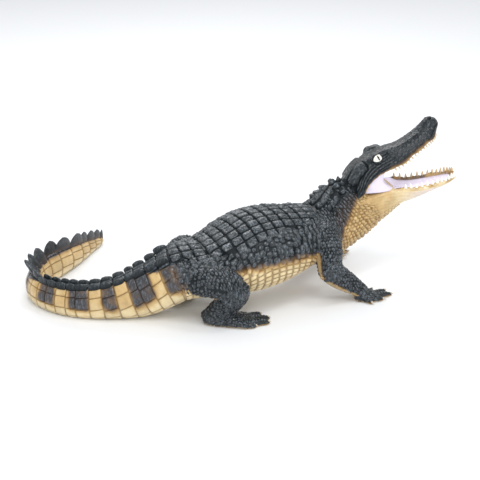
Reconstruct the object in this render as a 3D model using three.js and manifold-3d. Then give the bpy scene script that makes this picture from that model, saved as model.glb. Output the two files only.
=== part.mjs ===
// Toy alligator figure: a moulded, hand-painted animal standing with its mouth open and its tail curled.
// Millimetres. +X is the way the body faces, +Y its left side, +Z up, and the floor is Z = 0.
import * as THREE from 'three';
import { mergeVertices } from 'three/addons/utils/BufferGeometryUtils.js';
import Module from 'manifold-3d';

const wasm = await Module();
wasm.setup();

// Driving sizes
const GAP = 0.3;
const LIMB_GAP = 0.5;
const FLOOR = 0;
const ORIGIN_X = 9.4;
const ORIGIN_Y = 51;
const JOINT = new THREE.Vector3(89, 1, 78);
const HEAD_YAW = -14;
const UPPER_ROLL = 8;
const LOWER_ROLL = 3;
const UPPER_PITCH = 32;
const LOWER_PITCH = 4.2;
const MOUTH_INSET = 2.8;
const MOUTH_DEPTH = 3.6;
const THROAT_REACH = 37;
const THROAT_WIDTH = 30.5;
const TOOTH_RADIUS = 1;
const TOOTH_HEIGHT = 1.9;
const TOOTH_CHANGE = 0.4;
const TOOTH_ROOT = 1.6;
const TOOTH_INSET = 1.5;
const EYE_RADIUS = 4.4;
const EYE_PLACE = [29.4, 12.4, 11];
const BROW_PLACE = [31, 10.6, 10.5];
const BROW_RADII = [8.5, 4.6, 5];
const NOSE_PLACE = [79.4, 0, 5.7];
const NOSE_RADII = [7.4, 6.9, 5.2];
const CREST_START = 9.5;
const CREST_MERGE = 15;
const CREST_PEAK = 17.6;
const CREST_END = 21.6;
const CREST_STEP = 0.43;
const CREST_LOW = 2.4;
const CREST_HIGH = 12;
const CREST_BEND = 15.8;
const CREST_LEAN = 0.65;
const CREST_FADE = 1.7;
const CREST_LENGTH = 5.6;
const CREST_THICK = 2.2;
const CREST_ROOT = 3;
const CREST_SPREAD = 0.66;
const CREST_MARGIN = 0.27;
const TOE_HEIGHTS = [1.5, 1.55, 1.5, 1.15, 0.35];

// Spine rows from the skull base to the tail tip.
// Each row: x, y, z of the middle, half width, rise, drop, narrowing of the top, squareness.
const SPINE = [
  [103, -2, 73, 17, 15, 24, 0.0, 2.2],
  [92, 0, 63, 20, 26.5, 27, 0.0, 2.2],
  [76, 1, 51, 23.5, 27.5, 23, 0.0, 2.2],
  [57, 0, 45.5, 28, 23.5, 21, 0.0, 2.2],
  [38, 0, 46, 34, 25, 24, 0.0, 2.2],
  [18, 0, 44.5, 37.5, 29, 27.5, 0.0, 2.3],
  [-2, 0, 42, 38.5, 30, 28, 0.0, 2.3],
  [-22, 0, 39.5, 37, 24.5, 25, 0.0, 2.3],
  [-40, 1, 37, 32, 20, 22, 0.0, 2.3],
  [-57, 3, 35, 27, 21.5, 20, 0.1, 2.3],
  [-74, 9, 28, 21, 18, 22, 0.2, 2.5],
  [-91, 16, 20, 16.5, 16, 20.5, 0.25, 2.8],
  [-109, 23, 15, 13, 13.5, 15.6, 0.3, 3.0],
  [-127, 33, 13, 10.5, 12.5, 13.6, 0.35, 3.0],
  [-141, 47, 12.5, 9, 12, 13.1, 0.4, 3.0],
  [-149.5, 66, 12.5, 8, 11.5, 13.1, 0.4, 3.0],
  [-147.5, 85, 12, 7.5, 11.5, 12.6, 0.4, 3.0],
  [-135, 98, 12, 7, 11.5, 12.6, 0.4, 3.0],
  [-119, 108.5, 11.5, 6.4, 11, 12.1, 0.4, 3.0],
  [-101, 121.5, 10, 5.4, 9, 10.6, 0.4, 3.0],
  [-84, 136.5, 7.4, 4.3, 6.4, 8, 0.4, 3.0],
  [-68, 150, 4.6, 3.0, 3.6, 5, 0.3, 2.4],
  [-64, 153.5, 3.6, 1.2, 1.8, 2.4, 0.0, 2.0],
];

// Lengths of the body, as places along the spine rows.
const SPINE_CUTS = {
  neck: [0.35, 3],
  trunk: [3, 8.3],
  hips: [8.3, 10],
  tail_1: [10, 12.2],
  tail_2: [12.2, 14.2],
  tail_3: [14.2, 16.2],
  tail_4: [16.2, 18.8],
  tail_5: [18.8, 22],
};

// Upper head rows in the head's own frame, from the neck to the snout tip.
const UPPER = [
  [-9, 0, -3, 12, 6, 6, 0.1, 2.4],
  [-3, 0, -5, 17, 9, 5, 0.2, 2.8],
  [4, 0, -5, 21, 14.4, 3, 0.3, 3.2],
  [14, 0, 0, 20.8, 14.6, 2.6, 0.32, 3.2],
  [24, 0, 0.6, 19, 14.2, 2.4, 0.32, 3.0],
  [34, 0, -1.4, 16.8, 15.2, 2.4, 0.3, 3.0],
  [42, 0, -4, 15.1, 16, 2, 0.25, 2.8],
  [50, 0, -4, 14.3, 14.2, 2, 0.22, 2.8],
  [60, 0, -2.8, 14, 12, 2, 0.2, 2.8],
  [70, 0, -1.8, 14, 11.4, 2.2, 0.2, 2.8],
  [74.5, 0, -1, 13, 11.2, 2.5, 0.2, 2.6],
  [78, 0, 0, 10.5, 9.5, 2.4, 0.2, 2.3],
  [80.3, 0, 1, 7, 7, 2, 0.1, 2.0],
  [81.3, 0, 2, 3, 3, 1.2, 0.0, 2.0],
];

// Lower jaw rows in the jaw's own frame.
const LOWER = [
  [-8, 0, -10, 15, 3, 18, 0.0, 2.2],
  [2, 0, -8, 19.5, 2.5, 23, 0.0, 2.3],
  [13, 0, -4.8, 20.3, 1.5, 25.5, 0.0, 2.4],
  [24, 0, -3.1, 18.6, 1.4, 25.2, 0.0, 2.5],
  [38, 0, -2.7, 16, 1.5, 18, 0.0, 2.5],
  [52, 0, -4.5, 13.8, 1.5, 12.3, 0.0, 2.5],
  [66, 0, -4.3, 12.6, 1.5, 8, 0.0, 2.5],
  [78, 0, -3.5, 11.2, 1.5, 5.8, 0.0, 2.4],
  [85, 0, -2.5, 8.5, 1.5, 4.4, 0.0, 2.2],
  [88.5, 0, -2.6, 5, 1.4, 2.8, 0.0, 2.0],
  [90, 0, -2.2, 2, 0.8, 1, 0.0, 2.0],
];

// Limb rows for the right side, from the body outwards. The left side mirrors them.
// Each row: x, y, z of the middle, thickness, then reach to the front and to the back, all as half sizes.
const THIGH = [
  [-57, -6, 35, 12, 14, 15, 0, 2.1],
  [-50, -20, 36, 12.5, 14, 15, 0, 2.1],
  [-42, -31, 36.5, 12.5, 12.5, 13.5, 0, 2.1],
  [-35, -38.5, 36, 11, 10.5, 11, 0, 2.1],
  [-30, -43, 35, 7.5, 7, 7, 0, 2.0],
  [-28.5, -44.5, 35, 2.5, 2.5, 2.5, 0, 2.0],
];
const SHIN = [
  [-31, -42.5, 38, 3, 4, 4, 0, 2.0],
  [-31, -42, 34, 7.5, 9, 9, 0, 2.1],
  [-33, -38.5, 26, 8.5, 11.5, 11.5, 0, 2.1],
  [-36.5, -33, 18, 8.5, 11.5, 11.5, 0, 2.1],
  [-41, -27.5, 10.5, 8.5, 10.5, 10.5, 0, 2.1],
  [-44, -24, 3, 8, 9, 9, 0, 2.1],
];
const UPPER_ARM = [
  [54, -10, 50, 13, 13, 13, 0, 2.1],
  [54, -22, 50, 12.5, 12.5, 12, 0, 2.1],
  [52, -31, 42, 11, 11.5, 10.5, 0, 2.1],
  [50, -36, 32, 9, 10.5, 9.5, 0, 2.1],
  [49.5, -38, 25, 7.5, 8.5, 8, 0, 2.0],
  [49.5, -38, 20.5, 3, 3, 3, 0, 2.0],
];
const FOREARM = [
  [44, -38, 33, 3, 3, 3, 0, 2.0],
  [47.5, -38, 30.5, 7, 9, 8.5, 0, 2.0],
  [56, -38.5, 24, 7.5, 9.5, 10.2, 0, 2.1],
  [66, -39, 16.5, 6.8, 8.2, 9.2, 0, 2.1],
  [74, -40, 10.5, 6.2, 6.8, 7.4, 0, 2.1],
  [80, -41.5, 5.5, 5.8, 5, 5, 0, 2.1],
];
const HIND_FOOT = [
  [-50, -18.5, 4, 3, 3, 5, 0, 2.2],
  [-48.5, -19.5, 4.5, 7, 5.5, 6, 0, 2.2],
  [-42, -24, 5, 9, 7.5, 6.5, 0.1, 2.2],
  [-31, -31.5, 4, 10.5, 6, 5.5, 0.2, 2.2],
  [-20, -37, 2.8, 11.5, 3.6, 4.5, 0.2, 2.3],
  [-15, -39, 2, 9, 1.8, 3.5, 0.2, 2.3],
];
const FRONT_FOOT = [
  [72, -39, 5, 5, 4, 5, 0, 2.2],
  [77, -41, 4.5, 7.5, 5.5, 6, 0.1, 2.2],
  [84, -43, 3.4, 9, 4.4, 5, 0.2, 2.2],
  [90, -44, 2.2, 8, 2.2, 4, 0.2, 2.2],
];

// Toes: root x, y, tip x, y, thickness.
const HIND_TOES = [
  [-28, -38, -18, -46.5, 3.0],
  [-22, -41, -6, -45.5, 3.3],
  [-20, -37, -2.5, -38.5, 3.3],
  [-22, -31.5, -5, -29.5, 3.0],
];
const FRONT_TOES = [
  [79, -44, 80, -54, 2.6],
  [84, -46, 92, -52, 2.8],
  [88, -44.5, 103, -46.5, 2.8],
  [88, -41, 102, -38.5, 2.6],
  [84, -38, 94, -31.5, 2.4],
];
const LEFT_STEP = { front: 13, hind: -9 };

const UP = new THREE.Vector3(0, 0, 1);
const FORWARD = new THREE.Vector3(1, 0, 0);

// A row of numbers at a place u along a table, smooth between the rows.
function rowAt(table, u) {
  const last = table.length - 1;
  const i = Math.min(Math.max(Math.floor(u), 0), last - 1);
  const t = u - i;
  const b = table[i];
  const c = table[i + 1];
  const a = i > 0 ? table[i - 1] : b.map((v, k) => 2 * v - c[k]);
  const d = i + 2 <= last ? table[i + 2] : c.map((v, k) => 2 * v - b[k]);
  return b.map((v, k) => 0.5 * (2 * v + (c[k] - a[k]) * t
    + (2 * a[k] - 5 * v + 4 * c[k] - d[k]) * t * t
    + (3 * v - a[k] - 3 * c[k] + d[k]) * t * t * t));
}

function middleAt(table, u) {
  const row = rowAt(table, u);
  return new THREE.Vector3(row[0], row[1], row[2]);
}

// Axes of the section at u: along the body, to one side, and up.
function frameAt(table, u, reference) {
  const step = 0.02;
  const along = middleAt(table, u + step).sub(middleAt(table, u - step)).normalize();
  const side = new THREE.Vector3().crossVectors(along, reference).normalize();
  const up = new THREE.Vector3().crossVectors(side, along).normalize();
  return { along, side, up };
}

// Point of a section at an angle, where 0 is the side and a quarter turn is the top.
function sectionPoint(row, angle, radius, grow) {
  const [, , , half, rise, drop, narrow, square] = row;
  const power = 2 / square;
  const c = Math.cos(angle);
  const s = Math.sin(angle);
  const across = Math.sign(c) * Math.abs(c) ** power;
  const height = Math.sign(s) * Math.abs(s) ** power;
  const taper = height > 0 ? 1 - narrow * height : 1;
  const rising = height > 0 ? rise : drop;
  return [(half * taper + grow) * across * radius, (rising + grow) * height * radius];
}

// A closed geometry through the rows of a table between two places along it.
function loft(table, from, to, steps, around, options = {}) {
  const { reference = UP, grow = 0, floor = null } = options;
  const geometry = new THREE.CylinderGeometry(1, 1, 1, around, steps);
  const place = geometry.attributes.position;
  for (let i = 0; i < place.count; i++) {
    const radius = Math.min(Math.hypot(place.getX(i), place.getZ(i)), 1);
    const angle = Math.atan2(place.getZ(i), place.getX(i));
    const u = from + (to - from) * (place.getY(i) + 0.5);
    const row = rowAt(table, u);
    const axes = frameAt(table, u, reference);
    const [across, height] = sectionPoint(row, angle, radius, grow);
    const point = new THREE.Vector3(row[0], row[1], row[2]);
    point.addScaledVector(axes.side, across).addScaledVector(axes.up, height);
    if (place.getY(i) > 0.499) point.addScaledVector(axes.along, grow);
    if (place.getY(i) < -0.499) point.addScaledVector(axes.along, -grow);
    if (floor !== null) point.z = Math.max(point.z, floor);
    place.setXYZ(i, point.x, point.y, point.z);
  }
  return geometry;
}

function merged(geometry) {
  const copy = geometry.clone();
  copy.deleteAttribute('normal');
  copy.deleteAttribute('uv');
  return mergeVertices(copy, 1e-4);
}

function signedVolume(geometry) {
  const place = geometry.attributes.position;
  const corner = [new THREE.Vector3(), new THREE.Vector3(), new THREE.Vector3()];
  let total = 0;
  for (let i = 0; i < geometry.index.count; i += 3) {
    corner.forEach((v, k) => v.fromBufferAttribute(place, geometry.index.getX(i + k)));
    total += corner[0].dot(corner[1].cross(corner[2])) / 6;
  }
  return total;
}

// A solid that can be cut and joined, from a closed geometry, turned right side out.
function solid(geometry) {
  const joined = merged(geometry);
  const triVerts = Uint32Array.from(joined.index.array);
  if (signedVolume(joined) < 0) {
    for (let i = 0; i < triVerts.length; i += 3) {
      [triVerts[i], triVerts[i + 1]] = [triVerts[i + 1], triVerts[i]];
    }
  }
  const vertProperties = Float32Array.from(joined.attributes.position.array);
  return new wasm.Manifold(new wasm.Mesh({ numProp: 3, vertProperties, triVerts }));
}

function geometryOf(manifold) {
  const mesh = manifold.getMesh();
  const flat = [];
  for (let i = 0; i < mesh.vertProperties.length; i += mesh.numProp) {
    flat.push(mesh.vertProperties[i], mesh.vertProperties[i + 1], mesh.vertProperties[i + 2]);
  }
  const geometry = new THREE.BufferGeometry();
  geometry.setAttribute('position', new THREE.Float32BufferAttribute(flat, 3));
  geometry.setIndex(Array.from(mesh.triVerts));
  return geometry;
}

// The largest of the separate bodies that a cut leaves.
function largest(manifold) {
  const pieces = manifold.decompose();
  pieces.sort((a, b) => b.volume() - a.volume());
  return pieces[0];
}

function ellipsoid(place, radii, around = 10, rings = 6) {
  return new THREE.SphereGeometry(1, around, rings).rotateX(Math.PI / 2).scale(...radii).translate(...place);
}

// Frame of a jaw: nose along local +X, its left side +Y, rolled and turned about the jaw joint.
function jawFrame(pitch, roll) {
  const turn = new THREE.Euler(
    THREE.MathUtils.degToRad(-roll),
    THREE.MathUtils.degToRad(-pitch),
    THREE.MathUtils.degToRad(HEAD_YAW),
    'ZYX',
  );
  const quaternion = new THREE.Quaternion().setFromEuler(turn);
  return new THREE.Matrix4().compose(JOINT, quaternion, new THREE.Vector3(1, 1, 1));
}

// The same solid moved by a matrix.
function moved(manifold, matrix) {
  return manifold.transform(matrix.elements);
}

const upperFrame = jawFrame(UPPER_PITCH, UPPER_ROLL);
const lowerFrame = jawFrame(LOWER_PITCH, LOWER_ROLL);
const upperInverse = upperFrame.clone().invert();
const lowerInverse = lowerFrame.clone().invert();
const upperToLower = lowerInverse.clone().multiply(upperFrame);
const lowerToUpper = upperInverse.clone().multiply(lowerFrame);

// Place along a jaw table where the local x is reached.
function placeOfX(table, x) {
  let low = 0;
  let high = table.length - 1;
  while (high - low > 1e-4) {
    const half = (low + high) / 2;
    if (rowAt(table, half)[0] < x) low = half;
    else high = half;
  }
  return low;
}

// Teeth of one jaw: small spikes inside the rim, on both sides and round the tip.
function teeth(table, first, last, count, direction) {
  const spikes = [];
  for (let i = 0; i < count; i++) {
    const t = i / (count - 1);
    const x = first + (last - first) * Math.sin(t * Math.PI / 2);
    const row = rowAt(table, placeOfX(table, x));
    const height = TOOTH_HEIGHT + TOOTH_CHANGE * Math.sin(i * 2.1);
    const rim = direction < 0 ? row[2] - row[5] * 0.7 : row[2] + row[4] * 0.4;
    for (const side of [1, -1]) {
      const spike = new THREE.ConeGeometry(TOOTH_RADIUS, height + TOOTH_ROOT, 3);
      if (direction < 0) spike.rotateX(-Math.PI / 2);
      else spike.rotateX(Math.PI / 2);
      spike.translate(x, side * (row[3] - TOOTH_INSET), rim + direction * height / 2);
      spikes.push(solid(spike));
    }
  }
  return wasm.Manifold.union(spikes);
}

// A hollow or lining inside a jaw's rim. The sign says which way the mouth lies from the jaw.
function mouthTable(table, first, last, sign, shrink, open) {
  const rows = [];
  for (let i = first; i <= last; i++) {
    const [x, , z, half, rise, drop, , square] = table[i];
    const width = Math.max(half - MOUTH_INSET - shrink, 0.8);
    const rim = sign > 0 ? z + rise : z - drop;
    const depth = MOUTH_DEPTH - shrink;
    if (sign > 0) rows.push([x, 0, rim, width, open, depth, 0, square]);
    else rows.push([x, 0, rim, width, depth, open, 0, square]);
  }
  return rows;
}

const eyeballs = [1, -1].map((side) => [EYE_PLACE[0], side * EYE_PLACE[1], EYE_PLACE[2]]);
const eyeHoles = eyeballs.map((place) => solid(ellipsoid(place, Array(3).fill(EYE_RADIUS + GAP))));

function headSolid(grow) {
  let head = solid(loft(UPPER, 0, UPPER.length - 1, 14, 15, { grow }));
  for (const side of [1, -1]) {
    const place = [BROW_PLACE[0], side * BROW_PLACE[1], BROW_PLACE[2]];
    head = head.add(solid(ellipsoid(place, BROW_RADII.map((r) => r + grow))));
  }
  return head.add(solid(ellipsoid(NOSE_PLACE, NOSE_RADII.map((r) => r + grow))));
}

const palateHollow = solid(loft(mouthTable(UPPER, 5, 12, -1, 0, 6), 0, 7, 7, 10));
const floorHollow = solid(loft(mouthTable(LOWER, 4, 9, 1, 0, 6), 0, 5, 6, 10));
const palate = solid(loft(mouthTable(UPPER, 5, 12, -1, GAP, -1.0), 0.1, 6.9, 7, 10));
const mouthFloor = solid(loft(mouthTable(LOWER, 4, 9, 1, GAP, -1.2), 0.1, 4.9, 6, 10));
const headGrown = headSolid(GAP);
const jawGrown = solid(loft(LOWER, 0, LOWER.length - 1, 11, 14, { grow: GAP }));

let head = headSolid(0).subtract(palateHollow);
head = eyeHoles.reduce((rest, hole) => rest.subtract(hole), head);
head = largest(head.add(teeth(UPPER, 38, 78.5, 10, -1)));

let jaw = solid(loft(LOWER, 0, LOWER.length - 1, 11, 14)).subtract(floorHollow);
jaw = jaw.subtract(moved(headGrown, upperToLower));
jaw = largest(jaw.add(teeth(LOWER, 41, 86, 10, 1)));

// Throat wall between the jaws: a wedge that fills the angle at the back of the mouth.
function throatWedge() {
  const shape = new THREE.Shape();
  const opening = THREE.MathUtils.degToRad(UPPER_PITCH - LOWER_PITCH);
  const front = THROAT_REACH;
  shape.moveTo(-3, -4);
  shape.lineTo(front, -5);
  const topX = front * Math.cos(opening);
  const topY = front * Math.sin(opening);
  shape.quadraticCurveTo(front - 6, front * Math.tan(opening / 2), topX, topY);
  shape.lineTo(2, 6);
  const options = { depth: THROAT_WIDTH, bevelEnabled: false, curveSegments: 3 };
  return new THREE.ExtrudeGeometry(shape, options).rotateX(Math.PI / 2).translate(0, THROAT_WIDTH / 2, 0);
}
const throat = largest(solid(throatWedge())
  .subtract(moved(headGrown, upperToLower))
  .subtract(jawGrown)
  .subtract(solid(loft(mouthTable(LOWER, 4, 9, 1, -GAP, 0.5), 0, 5, 6, 10))));

// Lengths of the body along the spine, with thin cuts between them.
const inBody = [moved(headGrown, upperFrame), moved(jawGrown, lowerFrame), moved(throat, lowerFrame)];
const bodyPieces = {};
for (const [name, [from, to]] of Object.entries(SPINE_CUTS)) {
  const cut = GAP / 2 / 19;
  const steps = Math.max(Math.round((to - from) * 2.2), 4);
  const around = name.startsWith('tail') ? 12 : 18;
  const geometry = loft(SPINE, from + cut, to - cut, steps, around, { floor: FLOOR });
  bodyPieces[name] = solid(geometry);
}
for (const piece of inBody) bodyPieces.neck = bodyPieces.neck.subtract(piece);
bodyPieces.neck = largest(bodyPieces.neck);
const bodyGrown = solid(loft(SPINE, 0.2, 12, 26, 18, { grow: LIMB_GAP }));

// Tail crest: two rows of low plates that merge into one row of taller ones past the bend.
function crestHeight(u) {
  const atMerge = CREST_LOW + CREST_MERGE - CREST_START;
  if (u < CREST_MERGE) return CREST_LOW + u - CREST_START;
  const share = (u - CREST_MERGE) / (CREST_PEAK - CREST_MERGE);
  if (share < 1) return atMerge + (CREST_HIGH - atMerge) * share;
  return CREST_HIGH - CREST_FADE * (u - CREST_PEAK);
}

function crest(from, to) {
  const plates = [];
  for (let u = CREST_START; u < CREST_END; u += CREST_STEP) {
    if (u < from || u > to) continue;
    const row = rowAt(SPINE, u);
    const axes = frameAt(SPINE, u, UP);
    const single = u > CREST_MERGE;
    const height = crestHeight(u);
    const spread = single ? 0 : row[3] * (1 - row[6]) * CREST_SPREAD;
    const lean = CREST_LEAN * Math.max(1 - Math.abs(u - CREST_BEND) / 2, 0);
    for (const side of single ? [0] : [1, -1]) {
      const plate = new THREE.CylinderGeometry(0.5, 1, 1, 4).rotateY(Math.PI / 4).rotateX(Math.PI / 2);
      plate.scale(CREST_LENGTH, CREST_THICK, height + CREST_ROOT).translate(0, 0, (height - CREST_ROOT) / 2);
      plate.applyMatrix4(new THREE.Matrix4().makeShear(0, 0, 0, 0, 0, lean));
      const basis = new THREE.Matrix4().makeBasis(axes.along, axes.side.clone().negate(), axes.up);
      const top = new THREE.Vector3(row[0], row[1], row[2]);
      top.addScaledVector(axes.up, row[4] - (single ? 0.6 : 2.4));
      top.addScaledVector(axes.side, side * spread);
      plates.push(solid(plate.applyMatrix4(basis.setPosition(top))));
    }
  }
  return plates;
}
for (const name of ['hips', 'tail_1', 'tail_2', 'tail_3', 'tail_4', 'tail_5']) {
  const [from, to] = SPINE_CUTS[name];
  const plates = crest(from + CREST_MARGIN, to - CREST_MARGIN);
  if (plates.length) bodyPieces[name] = bodyPieces[name].add(wasm.Manifold.union(plates));
}

// Limb rows moved to a side of the body and stepped forwards towards the foot.
function limbTable(table, side, step, start, end) {
  return table.map((row, i) => {
    const share = start + (end - start) * i / (table.length - 1);
    return [row[0] + step * share, -side * row[1], ...row.slice(2)];
  });
}

function toe(root, tip, thick, side, step) {
  const table = [];
  TOE_HEIGHTS.forEach((height, i) => {
    const t = i / (TOE_HEIGHTS.length - 1);
    const x = root[0] + (tip[0] - root[0]) * t + step;
    const y = -side * (root[1] + (tip[1] - root[1]) * t);
    const middle = thick * (0.75 - 0.25 * t);
    const half = thick * (1 - 0.45 * t * t);
    table.push([x, y, middle, half, thick * height * 0.62, thick, 0, 2.1]);
  });
  return solid(loft(table, 0, 4, 3, 6, { floor: FLOOR }));
}

function foot(table, toes, side, step) {
  const rows = limbTable(table, side, step, 1, 1);
  let body = solid(loft(rows, 0, rows.length - 1, 4, 8, { floor: FLOOR }));
  for (const [rx, ry, tx, ty, thick] of toes) {
    body = body.add(toe([rx, ry], [tx, ty], thick, side, step));
  }
  return body;
}

const limbPieces = {};
function limb(name, upperTable, lowerTable, footTable, toes, side, step) {
  const upperRows = limbTable(upperTable, side, step, 0, 0.35);
  const lowerRows = limbTable(lowerTable, side, step, 0.35, 1);
  const options = { reference: FORWARD, floor: FLOOR };
  const full = (rows, grow) => solid(loft(rows, 0, rows.length - 1, 5, 10, { ...options, grow }));
  const footRows = limbTable(footTable, side, step, 1, 1);
  const footGrown = solid(loft(footRows, 0, footRows.length - 1, 4, 8, { grow: GAP }));
  const lower = full(lowerRows, 0).subtract(full(upperRows, GAP));
  limbPieces[name[0]] = largest(full(upperRows, 0).subtract(bodyGrown));
  limbPieces[name[1]] = largest(lower.subtract(bodyGrown).subtract(footGrown));
  limbPieces[name[2]] = foot(footTable, toes, side, step);
}
for (const [word, side] of [['right', -1], ['left', 1]]) {
  const front = side > 0 ? LEFT_STEP.front : 0;
  const hind = side > 0 ? LEFT_STEP.hind : 0;
  const armNames = ['upper_arm', 'forearm', 'hand'].map((part) => `${word}_${part}`);
  const legNames = ['thigh', 'shin', 'foot'].map((part) => `${word}_${part}`);
  limb(armNames, UPPER_ARM, FOREARM, FRONT_FOOT, FRONT_TOES, side, front);
  limb(legNames, THIGH, SHIN, HIND_FOOT, HIND_TOES, side, hind);
}

const paint = {
  dark: new THREE.MeshStandardMaterial({ color: 0x36423f, roughness: 0.45 }),
  cream: new THREE.MeshStandardMaterial({ color: 0xe6cf8e, roughness: 0.5 }),
  mouth: new THREE.MeshStandardMaterial({ color: 0xe6dcee, roughness: 0.45 }),
  eye: new THREE.MeshStandardMaterial({ color: 0xf2efe4, roughness: 0.25 }),
};

const model = new THREE.Group();
model.position.set(-ORIGIN_X, -ORIGIN_Y, 0);
const headGroup = new THREE.Group();
headGroup.applyMatrix4(upperFrame);
const jawGroup = new THREE.Group();
jawGroup.applyMatrix4(lowerFrame);
model.add(headGroup, jawGroup);

function addMesh(group, name, geometry, material) {
  const mesh = new THREE.Mesh(geometry, material);
  mesh.name = name;
  group.add(mesh);
  return mesh;
}

addMesh(headGroup, 'head', geometryOf(head), paint.dark);
addMesh(headGroup, 'palate', geometryOf(palate), paint.mouth);
addMesh(jawGroup, 'lower_jaw', geometryOf(jaw), paint.cream);
addMesh(jawGroup, 'mouth_floor', geometryOf(mouthFloor), paint.mouth);
addMesh(jawGroup, 'throat_wall', geometryOf(throat), paint.mouth);
eyeballs.forEach((place, i) => {
  const ball = merged(ellipsoid([0, 0, 0], Array(3).fill(EYE_RADIUS)));
  const eye = addMesh(headGroup, i ? 'right_eye' : 'left_eye', ball, paint.eye);
  eye.position.set(...place);
});
for (const [name, piece] of Object.entries(bodyPieces)) addMesh(model, name, geometryOf(piece), paint.dark);
for (const [name, piece] of Object.entries(limbPieces)) addMesh(model, name, geometryOf(piece), paint.dark);

export default model;
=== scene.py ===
"""A painted vinyl alligator figure: one moulded skin under raised scales, plates, teeth and eyes.

Sizes are millimetres in the frame's own axes until a mesh is made, which is in metres.
"""

import math

import bmesh
import bpy
import numpy as np
from mathutils import Matrix, Vector
from mathutils.bvhtree import BVHTree


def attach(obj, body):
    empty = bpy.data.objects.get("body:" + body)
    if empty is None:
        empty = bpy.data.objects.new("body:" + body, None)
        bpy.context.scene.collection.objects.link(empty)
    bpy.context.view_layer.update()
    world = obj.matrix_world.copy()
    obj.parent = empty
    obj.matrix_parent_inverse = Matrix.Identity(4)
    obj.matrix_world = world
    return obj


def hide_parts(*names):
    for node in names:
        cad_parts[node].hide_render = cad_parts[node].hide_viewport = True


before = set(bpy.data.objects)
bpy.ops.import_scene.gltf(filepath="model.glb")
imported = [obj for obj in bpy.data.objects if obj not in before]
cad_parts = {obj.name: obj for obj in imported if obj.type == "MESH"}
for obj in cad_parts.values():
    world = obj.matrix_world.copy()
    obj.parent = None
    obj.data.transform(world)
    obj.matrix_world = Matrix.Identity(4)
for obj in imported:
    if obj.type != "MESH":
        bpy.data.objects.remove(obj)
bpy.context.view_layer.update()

MM = 0.001
FAR = 1e9
ORIGIN = np.array([9.4, 51.0, 0.0])
JOINT = np.array([89.0, 1.0, 78.0])
HEAD_YAW = -14.0
UPPER_ROLL, LOWER_ROLL = 8.0, 3.0
UPPER_PITCH, LOWER_PITCH = 32.0, 4.2
EYE_RADIUS = 4.4
EYE_PLACE = np.array([29.4, 12.4, 11.0])
BROW_PLACE, BROW_RADII = (31.0, 10.6, 10.5), (8.5, 4.6, 5.0)
NOSE_PLACE, NOSE_RADII = (79.4, 0.0, 5.7), (7.4, 6.9, 5.2)
SKIN_VOXEL = 1.3
RANDOM_SEED = 7
UP = np.array([0.0, 0.0, 1.0])
FORWARD = np.array([1.0, 0.0, 0.0])

# Rows from the skull base to the tail tip.
# Each row: x, y, z of the middle, half width, rise, drop, narrowing of the top, squareness.
SPINE = [
    [103, -2, 73, 17, 15, 24, 0.0, 2.2],
    [92, 0, 63, 20, 26.5, 27, 0.0, 2.2],
    [76, 1, 51, 23.5, 27.5, 23, 0.0, 2.2],
    [57, 0, 45.5, 28, 23.5, 21, 0.0, 2.2],
    [38, 0, 46, 34, 25, 24, 0.0, 2.2],
    [18, 0, 44.5, 37.5, 29, 27.5, 0.0, 2.3],
    [-2, 0, 42, 38.5, 30, 28, 0.0, 2.3],
    [-22, 0, 39.5, 37, 24.5, 25, 0.0, 2.3],
    [-40, 1, 37, 32, 20, 22, 0.0, 2.3],
    [-57, 3, 35, 27, 21.5, 20, 0.1, 2.3],
    [-74, 9, 28, 21, 18, 22, 0.2, 2.5],
    [-91, 16, 20, 16.5, 16, 20.5, 0.25, 2.8],
    [-109, 23, 15, 13, 13.5, 15.6, 0.3, 3.0],
    [-127, 33, 13, 10.5, 12.5, 13.6, 0.35, 3.0],
    [-141, 47, 12.5, 9, 12, 13.1, 0.4, 3.0],
    [-149.5, 66, 12.5, 8, 11.5, 13.1, 0.4, 3.0],
    [-147.5, 85, 12, 7.5, 11.5, 12.6, 0.4, 3.0],
    [-135, 98, 12, 7, 11.5, 12.6, 0.4, 3.0],
    [-119, 108.5, 11.5, 6.4, 11, 12.1, 0.4, 3.0],
    [-101, 121.5, 10, 5.4, 9, 10.6, 0.4, 3.0],
    [-84, 136.5, 7.4, 4.3, 6.4, 8, 0.4, 3.0],
    [-68, 150, 4.6, 3.0, 3.6, 5, 0.3, 2.4],
    [-64, 153.5, 3.6, 1.2, 1.8, 2.4, 0.0, 2.0],
]

# Upper head rows in the head's own frame, from the neck to the snout tip.
UPPER = [
    [-9, 0, -3, 12, 6, 6, 0.1, 2.4],
    [-3, 0, -5, 17, 9, 5, 0.2, 2.8],
    [4, 0, -5, 21, 14.4, 3, 0.3, 3.2],
    [14, 0, 0, 20.8, 14.6, 2.6, 0.32, 3.2],
    [24, 0, 0.6, 19, 14.2, 2.4, 0.32, 3.0],
    [34, 0, -1.4, 16.8, 15.2, 2.4, 0.3, 3.0],
    [42, 0, -4, 15.1, 16, 2, 0.25, 2.8],
    [50, 0, -4, 14.3, 14.2, 2, 0.22, 2.8],
    [60, 0, -2.8, 14, 12, 2, 0.2, 2.8],
    [70, 0, -1.8, 14, 11.4, 2.2, 0.2, 2.8],
    [74.5, 0, -1, 13, 11.2, 2.5, 0.2, 2.6],
    [78, 0, 0, 10.5, 9.5, 2.4, 0.2, 2.3],
    [80.3, 0, 1, 7, 7, 2, 0.1, 2.0],
    [81.3, 0, 2, 3, 3, 1.2, 0.0, 2.0],
]

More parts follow.
